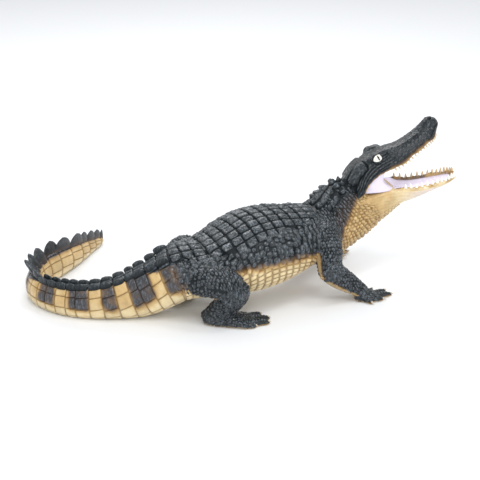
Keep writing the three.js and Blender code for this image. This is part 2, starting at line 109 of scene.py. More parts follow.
# Lower jaw rows in the jaw's own frame.
LOWER = [
    [-8, 0, -10, 15, 3, 18, 0.0, 2.2],
    [2, 0, -8, 19.5, 2.5, 23, 0.0, 2.3],
    [13, 0, -4.8, 20.3, 1.5, 25.5, 0.0, 2.4],
    [24, 0, -3.1, 18.6, 1.4, 25.2, 0.0, 2.5],
    [38, 0, -2.7, 16, 1.5, 18, 0.0, 2.5],
    [52, 0, -4.5, 13.8, 1.5, 12.3, 0.0, 2.5],
    [66, 0, -4.3, 12.6, 1.5, 8, 0.0, 2.5],
    [78, 0, -3.5, 11.2, 1.5, 5.8, 0.0, 2.4],
    [85, 0, -2.5, 8.5, 1.5, 4.4, 0.0, 2.2],
    [88.5, 0, -2.6, 5, 1.4, 2.8, 0.0, 2.0],
    [90, 0, -2.2, 2, 0.8, 1, 0.0, 2.0],
]

# Limb rows for the right side, from the body outwards. The left side mirrors them.
# Each row: x, y, z of the middle, thickness, then reach to the front and to the back, all as half sizes.
THIGH = [
    [-57, -6, 35, 12, 14, 15, 0, 2.1],
    [-50, -20, 36, 12.5, 14, 15, 0, 2.1],
    [-42, -31, 36.5, 12.5, 12.5, 13.5, 0, 2.1],
    [-35, -38.5, 36, 11, 10.5, 11, 0, 2.1],
    [-30, -43, 35, 7.5, 7, 7, 0, 2.0],
    [-28.5, -44.5, 35, 2.5, 2.5, 2.5, 0, 2.0],
]
SHIN = [
    [-31, -42.5, 38, 3, 4, 4, 0, 2.0],
    [-31, -42, 34, 7.5, 9, 9, 0, 2.1],
    [-33, -38.5, 26, 8.5, 11.5, 11.5, 0, 2.1],
    [-36.5, -33, 18, 8.5, 11.5, 11.5, 0, 2.1],
    [-41, -27.5, 10.5, 8.5, 10.5, 10.5, 0, 2.1],
    [-44, -24, 3, 8, 9, 9, 0, 2.1],
]
UPPER_ARM = [
    [54, -10, 50, 13, 13, 13, 0, 2.1],
    [54, -22, 50, 12.5, 12.5, 12, 0, 2.1],
    [52, -31, 42, 11, 11.5, 10.5, 0, 2.1],
    [50, -36, 32, 9, 10.5, 9.5, 0, 2.1],
    [49.5, -38, 25, 7.5, 8.5, 8, 0, 2.0],
    [49.5, -38, 20.5, 3, 3, 3, 0, 2.0],
]
FOREARM = [
    [44, -38, 33, 3, 3, 3, 0, 2.0],
    [47.5, -38, 30.5, 7, 9, 8.5, 0, 2.0],
    [56, -38.5, 24, 7.5, 9.5, 10.2, 0, 2.1],
    [66, -39, 16.5, 6.8, 8.2, 9.2, 0, 2.1],
    [74, -40, 10.5, 6.2, 6.8, 7.4, 0, 2.1],
    [80, -41.5, 5.5, 5.8, 5, 5, 0, 2.1],
]
HIND_FOOT = [
    [-50, -18.5, 4, 3, 3, 5, 0, 2.2],
    [-48.5, -19.5, 4.5, 7, 5.5, 6, 0, 2.2],
    [-42, -24, 5, 9, 7.5, 6.5, 0.1, 2.2],
    [-31, -31.5, 4, 10.5, 6, 5.5, 0.2, 2.2],
    [-20, -37, 2.8, 11.5, 3.6, 4.5, 0.2, 2.3],
    [-15, -39, 2, 9, 1.8, 3.5, 0.2, 2.3],
]
FRONT_FOOT = [
    [72, -39, 5, 5, 4, 5, 0, 2.2],
    [77, -41, 4.5, 7.5, 5.5, 6, 0.1, 2.2],
    [84, -43, 3.4, 9, 4.4, 5, 0.2, 2.2],
    [90, -44, 2.2, 8, 2.2, 4, 0.2, 2.2],
]

# Toes: root x, y, tip x, y, thickness.
HIND_TOES = [
    [-28, -38, -18, -46.5, 3.0],
    [-22, -41, -6, -45.5, 3.3],
    [-20, -37, -2.5, -38.5, 3.3],
    [-22, -31.5, -5, -29.5, 3.0],
]
FRONT_TOES = [
    [79, -44, 80, -54, 2.6],
    [84, -46, 92, -52, 2.8],
    [88, -44.5, 103, -46.5, 2.8],
    [88, -41, 102, -38.5, 2.6],
    [84, -38, 94, -31.5, 2.4],
]
LEFT_STEP = {"arm": 13.0, "leg": -9.0}

random = np.random.default_rng(RANDOM_SEED)


def ramp(value, low, high):
    """0 below low and 1 above high, with a smooth step between them."""
    t = np.clip((np.asarray(value, float) - low) / (high - low), 0, 1)
    return t * t * (3 - 2 * t)


def bump(value, middle, half):
    """1 at the middle, falling smoothly to 0 at a half width to each side."""
    return ramp(1 - np.abs(np.asarray(value, float) - middle) / half, 0, 1)


def unit(vectors):
    return vectors / np.maximum(np.linalg.norm(vectors, axis=-1, keepdims=True), 1e-9)


def spread(*values):
    """Numbers and arrays as arrays of one length."""
    return np.broadcast_arrays(*(np.asarray(v, float).ravel() for v in values))


def power(wave, exponent):
    """A sine or cosine raised to a power, with its sign kept."""
    return np.sign(wave) * np.abs(wave) ** exponent


def jittered(count, amount):
    return (random.random(count) - 0.5) * 2 * amount


def scrambled(key, salt):
    """A scrambled whole number for each cell of a lattice."""
    mixed = key[:, 0] * 73856093 ^ key[:, 1] * 19349663 ^ key[:, 2] * 83492791 ^ salt
    return (mixed ^ (mixed >> 13)) * 1274126177 & 0xFFFFFFFF


def lattice_noise(points, size, seed=0):
    """Smooth noise from 0 to 1 with blobs of about the given size."""
    cells = np.asarray(points, float) / size
    low = np.floor(cells).astype(np.int64)
    part = cells - low
    part = part * part * (3 - 2 * part)
    total = np.zeros(len(cells))
    for corner in np.ndindex(2, 2, 2):
        mixed = scrambled(low + corner, seed * 2654435761)
        value = (mixed ^ (mixed >> 16) & 0xFFFF) % 65536 / 65535
        total += np.prod(np.where(corner, part, 1 - part), axis=1) * value
    return total


def cell_relief(points, size, seed):
    """Small closed cells: 1 in the middle of each and 0 in the grooves between them."""
    cells = points / size
    low = np.floor(cells).astype(np.int64)
    nearest = np.full(len(points), 9.0)
    second = nearest.copy()
    for corner in np.ndindex(3, 3, 3):
        key = low + np.array(corner) - 1
        spot = np.empty((len(points), 3))
        for axis in range(3):
            mixed = scrambled(key, (seed + axis) * 668265263)
            spot[:, axis] = key[:, axis] + 0.15 + 0.7 * ((mixed ^ (mixed >> 15)) % 65536) / 65535
        away = np.linalg.norm(spot - cells, axis=1)
        second = np.where(away < nearest, nearest, np.minimum(second, away))
        nearest = np.minimum(nearest, away)
    return ramp(second - nearest, 0.02, 0.38)


def rows_at(table, u):
    """Rows at places u along a table, smooth between its rows."""
    last = len(table) - 1
    i = np.clip(np.floor(u).astype(int), 0, last - 1)
    t = (u - i)[:, None]
    rows = np.vstack([2 * table[0] - table[1], table, 2 * table[last] - table[last - 1]])
    a, b, c, d = (rows[i + k] for k in range(4))
    curve = (2 * a - 5 * b + 4 * c - d) * t**2 + (3 * b - a - 3 * c + d) * t**3
    return 0.5 * (2 * b + (c - a) * t + curve)


class Loft:
    """One length of the animal. A place on it is u, along its rows, and an angle from side to top."""

    def __init__(self, name, table, depth, reference=UP, turn=None, shift=None):
        self.name = name
        self.table = np.array(table, float)
        self.depth = depth
        self.reference = reference
        self.turn = np.eye(3) if turn is None else turn
        self.shift = -ORIGIN if shift is None else shift - ORIGIN
        self.last = len(table) - 1
        self.measure()

    def measure(self):
        """Lengths round the sections, from the top and growing with the angle."""
        self.grid_angle = np.linspace(-math.pi, 2 * math.pi, 433)
        self.grid_u = np.linspace(0, self.last, self.last * 6 + 1)
        u = np.repeat(self.grid_u, len(self.grid_angle))
        angle = np.tile(self.grid_angle, len(self.grid_u))
        points = self.local(u, angle).reshape(len(self.grid_u), -1, 3)
        steps = np.linalg.norm(np.diff(points, axis=1), axis=2)
        arcs = np.concatenate([np.zeros((len(steps), 1)), np.cumsum(steps, axis=1)], axis=1)
        top = np.abs(self.grid_angle - math.pi / 2).argmin()
        self.arcs = arcs - arcs[:, top:top + 1]

    def angle_at(self, u, arc):
        """Angle at a length round the section from its top."""
        return self.look_up(u, arc, lambda values, k: np.interp(values, self.arcs[k], self.grid_angle))

    def arc_at(self, u, angle):
        """Length round the section from its top to an angle."""
        return self.look_up(u, angle, lambda values, k: np.interp(values, self.grid_angle, self.arcs[k]))

    def look_up(self, u, values, reader):
        u, values = spread(u, values)
        place = np.clip(u / self.last, 0, 1) * (len(self.grid_u) - 1)
        low = np.clip(np.floor(place).astype(int), 0, len(self.grid_u) - 2)
        found = np.empty(len(u))
        for k in np.unique(low):
            pick = low == k
            share = place[pick] - k
            found[pick] = reader(values[pick], k) * (1 - share) + reader(values[pick], k + 1) * share
        return found

    def side_arc(self, u, degrees):
        """Length round one section from its top to an angle in degrees."""
        return float(self.arc_at([u], math.radians(degrees))[0])

    def row(self, u):
        return rows_at(self.table, np.array([u]))[0]

    def rows_along(self, x):
        """Rows at lengths x of a jaw's own frame."""
        return rows_at(self.table, np.interp(x, self.table[:, 0], np.arange(self.last + 1)))

    def outward(self, points):
        """From the loft's own frame to the frame that all pieces share."""
        return points @ self.turn.T + self.shift

    def inward(self, points):
        return (points - self.shift) @ self.turn

    def axes(self, u):
        step = 0.02
        along = unit(rows_at(self.table, u + step)[:, :3] - rows_at(self.table, u - step)[:, :3])
        side = unit(np.cross(along, self.reference))
        return along, side, unit(np.cross(side, along))

    def local(self, u, angle, grow=0.0):
        """Points of the surface in the loft's own frame."""
        u, angle, grow = spread(u, angle, grow)
        row = rows_at(self.table, u)
        _, side, up = self.axes(u)
        across = power(np.cos(angle), 2 / row[:, 7])
        height = power(np.sin(angle), 2 / row[:, 7])
        taper = np.where(height > 0, 1 - row[:, 6] * height, 1)
        rising = np.where(height > 0, row[:, 4], row[:, 5])
        out = side * ((row[:, 3] * taper + grow) * across)[:, None]
        return row[:, :3] + out + up * ((rising + grow) * height)[:, None]

    def surface(self, u, angle, grow=0.0):
        return self.outward(self.local(u, angle, grow))

    def pace(self, u, angle):
        """Millimetres for one step of u along the surface."""
        du = 0.02
        return np.linalg.norm(self.local(u + du, angle) - self.local(u - du, angle), axis=1) / (2 * du)

    def pace_at(self, u, angle=math.pi / 2):
        return float(self.pace(np.array([u]), angle)[0])

    def locate(self, points):
        """Place u, angle and height over the surface for points of the frame."""
        p = self.inward(points)
        samples = np.linspace(0, self.last, self.last * 12 + 1)
        middles = rows_at(self.table, samples)[:, :3]
        u = np.empty(len(p))
        batch = 20000
        for start in range(0, len(p), batch):
            gap = ((p[start:start + batch, None, :] - middles[None]) ** 2).sum(2)
            u[start:start + batch] = samples[gap.argmin(1)]
        for _ in range(4):
            row = rows_at(self.table, u)
            speed = (rows_at(self.table, u + 0.01) - rows_at(self.table, u - 0.01))[:, :3] / 0.02
            nudge = ((p - row[:, :3]) * unit(speed)).sum(1) / np.linalg.norm(speed, axis=1)
            u = np.clip(u + nudge, 0, self.last)
        row = rows_at(self.table, u)
        along, side, up = self.axes(u)
        gap = p - row[:, :3]
        x, y, beyond = (gap * side).sum(1), (gap * up).sum(1), np.abs((gap * along).sum(1))
        high = np.abs(y) / np.where(y > 0, row[:, 4], row[:, 5])
        radius = np.ones(len(p))
        for _ in range(4):
            taper = np.where(y > 0, 1 - row[:, 6] * np.clip(high / radius, 0, 1), 1)
            wide = np.abs(x) / (row[:, 3] * taper)
            radius = np.maximum((wide ** row[:, 7] + high ** row[:, 7]) ** (1 / row[:, 7]), 1e-3)
        sine, cosine = (np.clip(v / radius, 0, 1) ** (row[:, 7] / 2) for v in (high, wide))
        angle = np.arctan2(np.sign(y) * sine, np.sign(x) * cosine)
        off = (radius - 1) * np.hypot(x, y) / radius
        return u, angle, np.where(beyond > 0.05, np.maximum(off, beyond), off)


def turned(yaw, pitch, roll):
    """Turn of a jaw: rolled about its length, pitched up and yawed."""
    spin = Matrix.Rotation(math.radians(yaw), 3, "Z") @ Matrix.Rotation(math.radians(-pitch), 3, "Y")
    return np.array(spin @ Matrix.Rotation(math.radians(-roll), 3, "X"))


HEAD_TURN = turned(HEAD_YAW, UPPER_PITCH, UPPER_ROLL)
JAW_TURN = turned(HEAD_YAW, LOWER_PITCH, LOWER_ROLL)


def limb_table(table, side, step, start, end):
    """Rows of a limb on one side of the body, stepped forwards towards the foot."""
    rows = np.array(table, float)
    rows[:, 0] += step * np.linspace(start, end, len(rows))
    rows[:, 1] *= -side
    return rows


def toe_table(toe, side, step):
    """Rows of a toe that thins from its root to its tip."""
    root_x, root_y, tip_x, tip_y, thick = toe
    rows = []
    for t, height in zip(np.linspace(0, 1, 5), (1.5, 1.55, 1.5, 1.15, 0.35)):
        x = root_x + (tip_x - root_x) * t + step
        y = -side * (root_y + (tip_y - root_y) * t)
        middle = thick * (0.75 - 0.25 * t)
        rows.append([x, y, middle, thick * (1 - 0.45 * t * t), thick * height * 0.62, thick, 0, 2.1])
    return rows


body = Loft("body", SPINE, 0.9)
head = Loft("head", UPPER, 0.5, turn=HEAD_TURN, shift=JOINT)
jaw = Loft("jaw", LOWER, 0.4, turn=JAW_TURN, shift=JOINT)
LIMB_PLANS = {
    "arm": (UPPER_ARM, FOREARM, FRONT_FOOT, FRONT_TOES),
    "leg": (THIGH, SHIN, HIND_FOOT, HIND_TOES),
}
limbs = []
for word, side in (("right", -1), ("left", 1)):
    for kind, (upper, lower, sole, toes) in LIMB_PLANS.items():
        name = word + "_" + kind
        step = LEFT_STEP[kind] if side > 0 else 0.0
        limbs.append(Loft(name + "_upper", limb_table(upper, side, step, 0, 0.35), 0.8, reference=FORWARD))
        limbs.append(Loft(name + "_lower", limb_table(lower, side, step, 0.35, 1), 0.8, reference=FORWARD))
        limbs.append(Loft(name + "_foot", limb_table(sole, side, step, 1, 1), 0.5))
        for i, toe in enumerate(toes):
            limbs.append(Loft(f"{name}_toe_{i}", toe_table(toe, side, step), -0.25))
lofts = [body, head, jaw] + limbs

# Each loft's island on the unwrap: left, bottom, width and height
islands = {
    "body": (0.01, 0.52, 0.98, 0.45),
    "head": (0.01, 0.28, 0.46, 0.21),
    "jaw": (0.51, 0.28, 0.46, 0.21),
}
for i, loft in enumerate([loft for loft in limbs if "toe" not in loft.name]):
    islands[loft.name] = (0.01 + i * 0.082, 0.12, 0.07, 0.13)
for i, loft in enumerate([loft for loft in limbs if "toe" in loft.name]):
    islands[loft.name] = (0.01 + i * 0.054, 0.02, 0.045, 0.07)


def mesh_object(name, points, faces):
    """A mesh object from points in millimetres."""
    mesh = bpy.data.meshes.new(name)
    mesh.from_pydata((np.asarray(points) * MM).tolist(), [], [tuple(map(int, f)) for f in faces])
    mesh.update()
    mesh.shade_smooth()
    made = bpy.data.objects.new(name, mesh)
    bpy.context.scene.collection.objects.link(made)
    return made


def ring_faces(levels, around, joined=False):
    """Faces between rings of points, with both ends closed or the last ring joined to the first."""
    faces = []
    for i in range(levels + joined):
        a, b = i * around, (i + 1) % (levels + 1) * around
        for k in range(around):
            n = (k + 1) % around
            faces.append((a + k, a + n, b + n, b + k))
    if not joined:
        faces.append(tuple(reversed(range(around))))
        faces.append(tuple(levels * around + k for k in range(around)))
    return faces


def gathered(shapes):
    """Many shapes as one: all their points, and their faces counted on."""
    faces, start = [], 0
    for points, own in shapes:
        faces += [tuple(i + start for i in face) for face in own]
        start += len(points)
    return np.vstack([shape[0] for shape in shapes]), faces


def show(made, material, slot, *nodes):
    """Gives a piece its paint and the body that it rides on, and hides the nodes that it stands for. The
    slot is not used.
    """
    made.data.materials.append(material)
    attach(made, "root")
    if nodes:
        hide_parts(*nodes)


def top_distance(angle):
    """Degrees round a section from its top, on either side."""
    return np.abs((np.degrees(angle) - 90 + 180) % 360 - 180)


def coat_depth(loft, u, angle):
    """How far the skin lies inside the loft, as deep as the coat that grows there."""
    if loft is not body:
        return np.full(np.shape(u), loft.depth)
    back = (1 - ramp(top_distance(angle), 30, 62)) * ramp(u, 2.6, 3.6) * (1 - ramp(u, 9.5, 11))
    return loft.depth + 0.8 * back


def closed_loft(loft):
    """Points and faces of a loft, inside its surface by its coat's depth, with ends that face outwards."""
    steps, around = loft.last * 6, 24 if loft in limbs else 48
    u = np.repeat(np.linspace(0.02, loft.last - 0.02, steps + 1), around)
    angle = np.tile(np.arange(around) * 2 * math.pi / around, steps + 1)
    faces = ring_faces(steps, around)
    ends = [end[::-1] for end in faces[-2:]]
    return loft.surface(u, angle, -coat_depth(loft, u, angle)), faces[:-2] + ends


def ellipsoid(place, radii):
    """Points and faces of a ball of the head."""
    ball = bmesh.new()
    bmesh.ops.create_icosphere(ball, subdivisions=4, radius=1.0)
    points = np.array([v.co for v in ball.verts]) * radii + place
    faces = [tuple(v.index for v in f.verts) for f in ball.faces]
    ball.free()
    return head.outward(points), faces


def skin_volume():
    """All lengths of the animal as closed shapes that pass through each other."""
    shapes = [closed_loft(loft) for loft in lofts]
    shapes += [ellipsoid(np.array(BROW_PLACE) * (1, side, 1), BROW_RADII) for side in (1, -1)]
    shapes.append(ellipsoid(NOSE_PLACE, NOSE_RADII))
    points, faces = gathered(shapes)
    points[:, 2] = np.maximum(points[:, 2], 0.1)
    return mesh_object("skin", points, faces)


def read(items, key, width, kind=np.float32):
    """One value of every vertex, corner or face of a mesh."""
    flat = np.empty(len(items) * width, kind)
    items.foreach_get(key, flat)
    return flat.reshape(-1, 3).astype(float) if width == 3 else flat


def positions(made):
    return read(made.data.vertices, "co", 3) / MM


def normals(made):
    return read(made.data.vertices, "normal", 3)


def corners_of(made):
    """The vertex of every corner, and the first corner of every face."""
    vertices = read(made.data.loops, "vertex_index", 1, np.int32)
    return vertices, read(made.data.polygons, "loop_start", 1, np.int32)


def owners(points):
    """For each point the loft whose surface lies nearest, with the place on it."""
    best = np.full(len(points), FAR)
    owner = np.zeros(len(points), int)
    place = np.zeros((len(points), 2))
    for i, loft in enumerate(lofts):
        middles = loft.outward(rows_at(loft.table, np.linspace(0, loft.last, 30))[:, :3])
        reach = loft.table[:, 3:6].max() + 4
        low, high = middles.min(0) - reach, middles.max(0) + reach
        near = np.flatnonzero(((points > low) & (points < high)).all(1))
        if not len(near):
            continue
        u, angle, off = loft.locate(points[near])
        gap = np.abs(off + loft.depth)
        closer = gap < best[near]
        pick = near[closer]
        best[pick] = gap[closer]
        owner[pick] = i
        place[pick] = np.column_stack([u[closer], angle[closer]])
    return owner, place


# Paint: 0 is cream, 1 is dark slate, with gold and brown between them
EDGE_U = [0, 0.6, 1.34, 2.3, 2.6, 3.9, 5, 6.4, 6.8, 8.4, 9.2]
EDGE_ANGLE = [60, 68, 78, 86, 98, 98, 91, 86, 83, 88, 94]
CREST_BAND_U = [9, 9.6, 10.4, 11.4, 12.2, 13.8, 15, 16, 17.5, 22]
CREST_BAND_ANGLE = [44, 44, 34, 22, 18, 26, 40, 46, 38, 34]
CREST_TIER_ANGLE = [42, 42, 36, 28, 26, 28, 32, 34, 28, 24]

# Dark patches along the tail: start, end and strength
TAIL_PATCHES = [
    (8.0, 9.62, 0.8), (10.14, 11.06, 0.9), (11.7, 12.18, 0.84), (12.72, 13.38, 0.88), (14.0, 14.64, 0.86),
    (15.4, 15.95, 0.75), (16.8, 17.3, 0.6), (18.3, 18.8, 0.45),
]

# How many degrees the cream edge reaches to each side of the rear edge of each length of a limb
CREAM_EDGE = {"arm_upper": 16, "arm_lower": 44}

# The side of the left forearm and hand that faces the trunk, which is cream
INNER_SIDE = np.array([-0.45, -0.89, 0.0])


def body_dark(u, angle, points):
    """Darkness of the trunk, neck and tail."""
    wander = lattice_noise(points, 6.0, 1) - 0.5
    fine = lattice_noise(points, 2.2, 2) - 0.5
    phi = top_distance(angle) + wander * 7 + fine * 4
    edge = np.interp(u, EDGE_U, EDGE_ANGLE)
    trunk = 1 - ramp(phi, edge - 13, edge + 9)
    outer = np.cos(angle) < 0
    band = np.interp(u, CREST_BAND_U, CREST_BAND_ANGLE) + 30 * bump(u, 16.1, 1.5) * outer
    crest = 1 - ramp(phi, band - 4, band + 7)
    patch = np.zeros(len(u))
    below = np.maximum(phi - 92, 0) * 0.22
    for start, end, strength in TAIL_PATCHES:
        beside = np.maximum(np.abs(u - (start + end) / 2) - (end - start) / 2 + 0.06, 0) * 19
        away = np.hypot(beside, below) + wander * 1.6
        patch = np.maximum(patch, strength * (1 - ramp(away, -1.6, 4.6)))
    patch *= np.where(outer, 1.0, 1 - ramp(u, 13.2, 14.4))
    tail = np.maximum(crest * (1 - 0.25 * ramp(u, 14.5, 16)), patch)
    gold = 0.07 + 0.15 * lattice_noise(points, 9.0, 14)
    tail = np.maximum(tail, gold * (1 - ramp(phi, 92, 112)) + 0.03)
    tail = np.maximum(tail, 0.45 * ramp(u, 14.2, 16) * (1 - ramp(phi, band - 4, band + 42)))
    throat = 1 - ramp(u, 2.5, 4.5)
    trunk = np.maximum(trunk, 0.04 + throat * (0.15 + 0.24 * lattice_noise(points, 5.0, 17)))
    share = ramp(u, 8.9, 9.3)
    mixed = trunk * (1 - share) + tail * share
    neck = ramp(phi, 40, 58) * (1 - ramp(u, 2.2, 2.9))
    return mixed * (1 - 0.22 * neck)


def head_dark(local):
    """Darkness of the upper head, which fades to gold along its lip."""
    x, z = local[:, 0], local[:, 2]
    above = z - head.rows_along(x)[:, 2] + (lattice_noise(local, 3.0, 3) - 0.5) * 1.6
    above += 3.0 * ramp(x, 70, 77)
    snout = ramp(x, 28, 38)
    return ramp(above, -1.4 - 0.8 * snout, 0.8 + 3.6 * snout)


def jaw_dark(local):
    """Darkness of the lower jaw: brown at its root and on its gums."""
    x, y, z = local.T
    wander = lattice_noise(local, 5.0, 4) - 0.5
    cheek = 0.22 * (1 - ramp(x + wander * 8, 14, 50))
    brown = 0.6 * (1 - ramp(x + wander * 5 - z * 0.4, -2, 11))
    rim, half = rim_of(jaw, x)
    inner = ramp(half - 0.3 - np.abs(y), 0, 0.9) * ramp(z - rim, -4.4, -3.6) * ramp(x, 30, 38)
    gum = (0.42 + 0.5 * wander) * inner * np.where(y > 0, 1.0, 0.5)
    return np.maximum(np.maximum(cheek, brown), np.maximum(gum, 0.03))


def limb_dark(loft, u, angle, points, normal):
    """Darkness of a limb: cream below, on the sole and along some rear edges."""
    wander = lattice_noise(points, 4.0, 5) - 0.5
    under = ramp(-normal[:, 2] + wander * 0.2, 0.6, 1.0)
    sole = 1 - ramp(points[:, 2] + wander * 0.5, 1.3, 2.3)
    dark = (1 - 0.8 * under) * (1 - 0.95 * sole)
    edge = CREAM_EDGE.get(loft.name.split("_", 1)[1], 0)
    if edge:
        rear = 180 - top_distance(angle) + wander * 6
        dark = np.minimum(dark, ramp(rear, edge - 6, edge + 14) + 1 - ramp(u, 0.4, 1.4))
    if loft.name.startswith("left_arm") and "upper" not in loft.name:
        inner = ramp(normal @ INNER_SIDE + wander * 0.3, 0.0, 0.5)
        dark = dark * (1 - 0.85 * inner)
    return dark


def paint_of(loft, u, angle, points, normal):
    """Darkness of the paint at places of one loft."""
    if loft is body:
        return body_dark(u, angle, points)
    if loft is head:
        return head_dark(head.inward(points))
    if loft is jaw:
        return jaw_dark(jaw.inward(points))
    return limb_dark(loft, u, angle, points, normal)


# Half the size of a scale's patch on the unwrap
PATCH = 0.0015


def atlas(loft, u, angle):
    """Place on the unwrap, inside the loft's own island."""
    left, low, wide, tall = islands[loft.name]
    around = (angle + math.pi / 2) / (2 * math.pi)
    return np.column_stack([left + u / loft.last * wide, low + around * tall])


def add_colours(made, paint, lilac=None):
    """Vertex values that the materials read: dark, relief and tone, and the share of lilac."""
    count = len(made.data.vertices)
    values = np.ones((count, 4), np.float32)
    values[:, :3] = np.clip(paint, 0, 1)
    layer = made.data.attributes.new("paint", "FLOAT_COLOR", "POINT")
    layer.data.foreach_set("color", values.ravel())
    layer = made.data.attributes.new("lilac", "FLOAT", "POINT")
    layer.data.foreach_set("value", (np.zeros(count) if lilac is None else lilac).astype(np.float32))


def add_uv(made, values):
    """Writes the unwrap: one pair of numbers for each corner."""
    layer = made.data.uv_layers.new(name="OFBake")
    layer.data.foreach_set("uv", np.clip(values, 0, 1).astype(np.float32).ravel())


def unwrap_skin(made, owner, place):
    """Each face goes wholly on the island of its first corner's loft."""
    corners, first = corners_of(made)
    face_of = np.repeat(np.arange(len(first)), np.diff(np.append(first, len(corners))))
    points = positions(made)
    face_owner = owner[corners[first]]
    uv = np.zeros((len(corners), 2))
    for index in np.unique(face_owner):
        loft = lofts[index]
        pick = np.flatnonzero(face_owner[face_of] == index)
        verts = corners[pick]
        u, angle = place[verts].T.copy()
        other = owner[verts] != index
        if other.any():
            u[other], angle[other] = loft.locate(points[verts[other]])[:2]
        angle = (angle + math.pi / 2) % (2 * math.pi) - math.pi / 2
        lead = angle[np.searchsorted(pick, first[face_of[pick]])]
        angle += 2 * math.pi * ((lead - angle > math.pi) * 1.0 - (angle - lead > math.pi))
        uv[pick] = atlas(loft, u, angle)
    add_uv(made, uv)


def rim_of(loft, x):
    """Height of a jaw's biting edge and half its width at lengths x."""
    row = loft.rows_along(x)
    return row[:, 2] + (row[:, 4] if loft is jaw else -row[:, 5]), row[:, 3]


def path_groove(points, path, width):
    """1 on a path through points, falling to 0 at its width."""
    path = np.asarray(path, float)
    best = np.full(len(points), FAR)
    for a, b in zip(path[:-1], path[1:]):
        t = np.clip(((points - a) @ (b - a)) / ((b - a) @ (b - a)), 0, 1)
        best = np.minimum(best, np.linalg.norm(points - a - t[:, None] * (b - a), axis=1))
    return ramp(1 - best / width, 0, 1)


NOSTRILS = [(81.6, 2.5, 9.8), (81.6, -2.5, 9.8)]
EAR_PATH = [(17.0, 0, 11.6), (13, 0, 11.0), (8, 0, 9.0), (3.5, 0, 6.6)]
EAR_GROOVE = [(4.0, 0, 4.2), (2.2, 0, 1.6), (0.2, 0, -2.0)]

# Folds of the body: a path of places and degrees, then depth and width
BODY_FOLDS = [
    ([(8.94, 128), (8.54, 116), (7.9, 113), (7.5, 126), (7.3, 142), (6.98, 170)], 1.5, 3.4),
    ([(3.9, 118), (4.25, 136), (4.5, 152), (4.55, 176)], 0.9, 2.4),
    ([(4.2, 122), (4.6, 138), (4.85, 154), (4.9, 176)], 0.7, 2.0),
    ([(2.35, 120), (2.2, 140), (2.1, 160), (2.0, 185)], 0.9, 2.6),
    ([(1.7, 122), (1.6, 145), (1.5, 170)], 0.5, 2.0),
    ([(1.2, 122), (1.1, 145), (1.0, 168)], 0.5, 2.0),
    ([(3.5, 185), (3.9, 200), (4.4, 205)], 0.8, 2.4),
]


def shape_head(points, normal, relief, lilac):
    """Lips, folds, ears, nostrils and the mouth hollow of the upper head."""
    local = head.inward(points)
    x, y, z = local.T
    rim, half = rim_of(head, x)
    rise = z - rim
    side = np.abs(y)
    inside_head = (x > -6) & (x < 86) & (z > rim - 4) & (side < 24) & (z < 26)
    outer = ramp(side / half, 0.55, 0.85)
    wave = np.sin(x * 0.42 + 0.6) * ramp(x, 30, 40) * (1 - ramp(x, 78, 84))
    move = 0.45 * wave * outer * (1 - ramp(np.abs(rise - 2.0), 1.0, 3.5))
    lip_groove = bump(rise - 3.9 - 0.5 * wave, 0, 0.75) * outer * ramp(x, 8, 20)
    move -= 0.35 * lip_groove
    relief -= 0.5 * lip_groove * inside_head
    cheek = ramp(x, -4, 6) * (1 - ramp(x, 34, 46)) * ramp(rise, 2, 5) * (1 - ramp(rise, 15, 20)) * outer
    line = np.sin((rise - 0.14 * x) * 3.0 + 1.6 * lattice_noise(local, 5.0, 7))
    move += 0.2 * line * cheek
    relief += (0.35 * line - 0.1) * cheek * inside_head
    flat = local * (1, 0, 1)
    flap_line, edge_line = path_groove(flat, EAR_PATH, 3.0), path_groove(flat, EAR_PATH, 6.0)
    groove_line = path_groove(flat, EAR_GROOVE, 1.6)
    for sign in (1, -1):
        near = (y * sign > 6) & inside_head
        flap = ramp(flap_line, 0.0, 0.45) * near
        edge = bump(edge_line, 0.42, 0.14) * near
        groove = groove_line * near
        move += 1.2 * flap - 1.3 * edge - 0.9 * groove
        relief += 0.3 * flap - 1.1 * edge - 0.8 * groove
    move += 1.3 * (1 - ramp(np.linalg.norm(local - (77.5, 0, 5.0), axis=1), 5, 11))
    top = (1 - ramp(x, 66, 74)) * ramp(z, 6, 8)
    move += 0.4 * bump(side, 7.6, 2.2) * ramp(x, 4, 12) * top
    move -= 0.3 * bump(side, 0, 1.2) * ramp(x, 40, 48) * top
    for place in NOSTRILS:
        away = np.linalg.norm(local - place, axis=1)
        move += 0.5 * bump(away, 2.0, 1.2) - 1.5 * (1 - ramp(away, 0.6, 1.6))
        relief[:] = np.where(away < 1.35, -0.6, relief)
    points += normal * (move * inside_head)[:, None]
    roof = (normal @ HEAD_TURN[:, 2]) < -0.25
    hollow = ramp(half - 2.2 - side, 0, 1.6) * ramp(x, 31, 35) * (1 - ramp(x, 76.5, 79))
    hollow *= inside_head & roof & (z < rim + 3.5)
    points += HEAD_TURN[:, 2] * (3.4 * hollow)[:, None]
    lilac[:] = np.maximum(lilac, ramp(hollow, 0.6, 0.9))


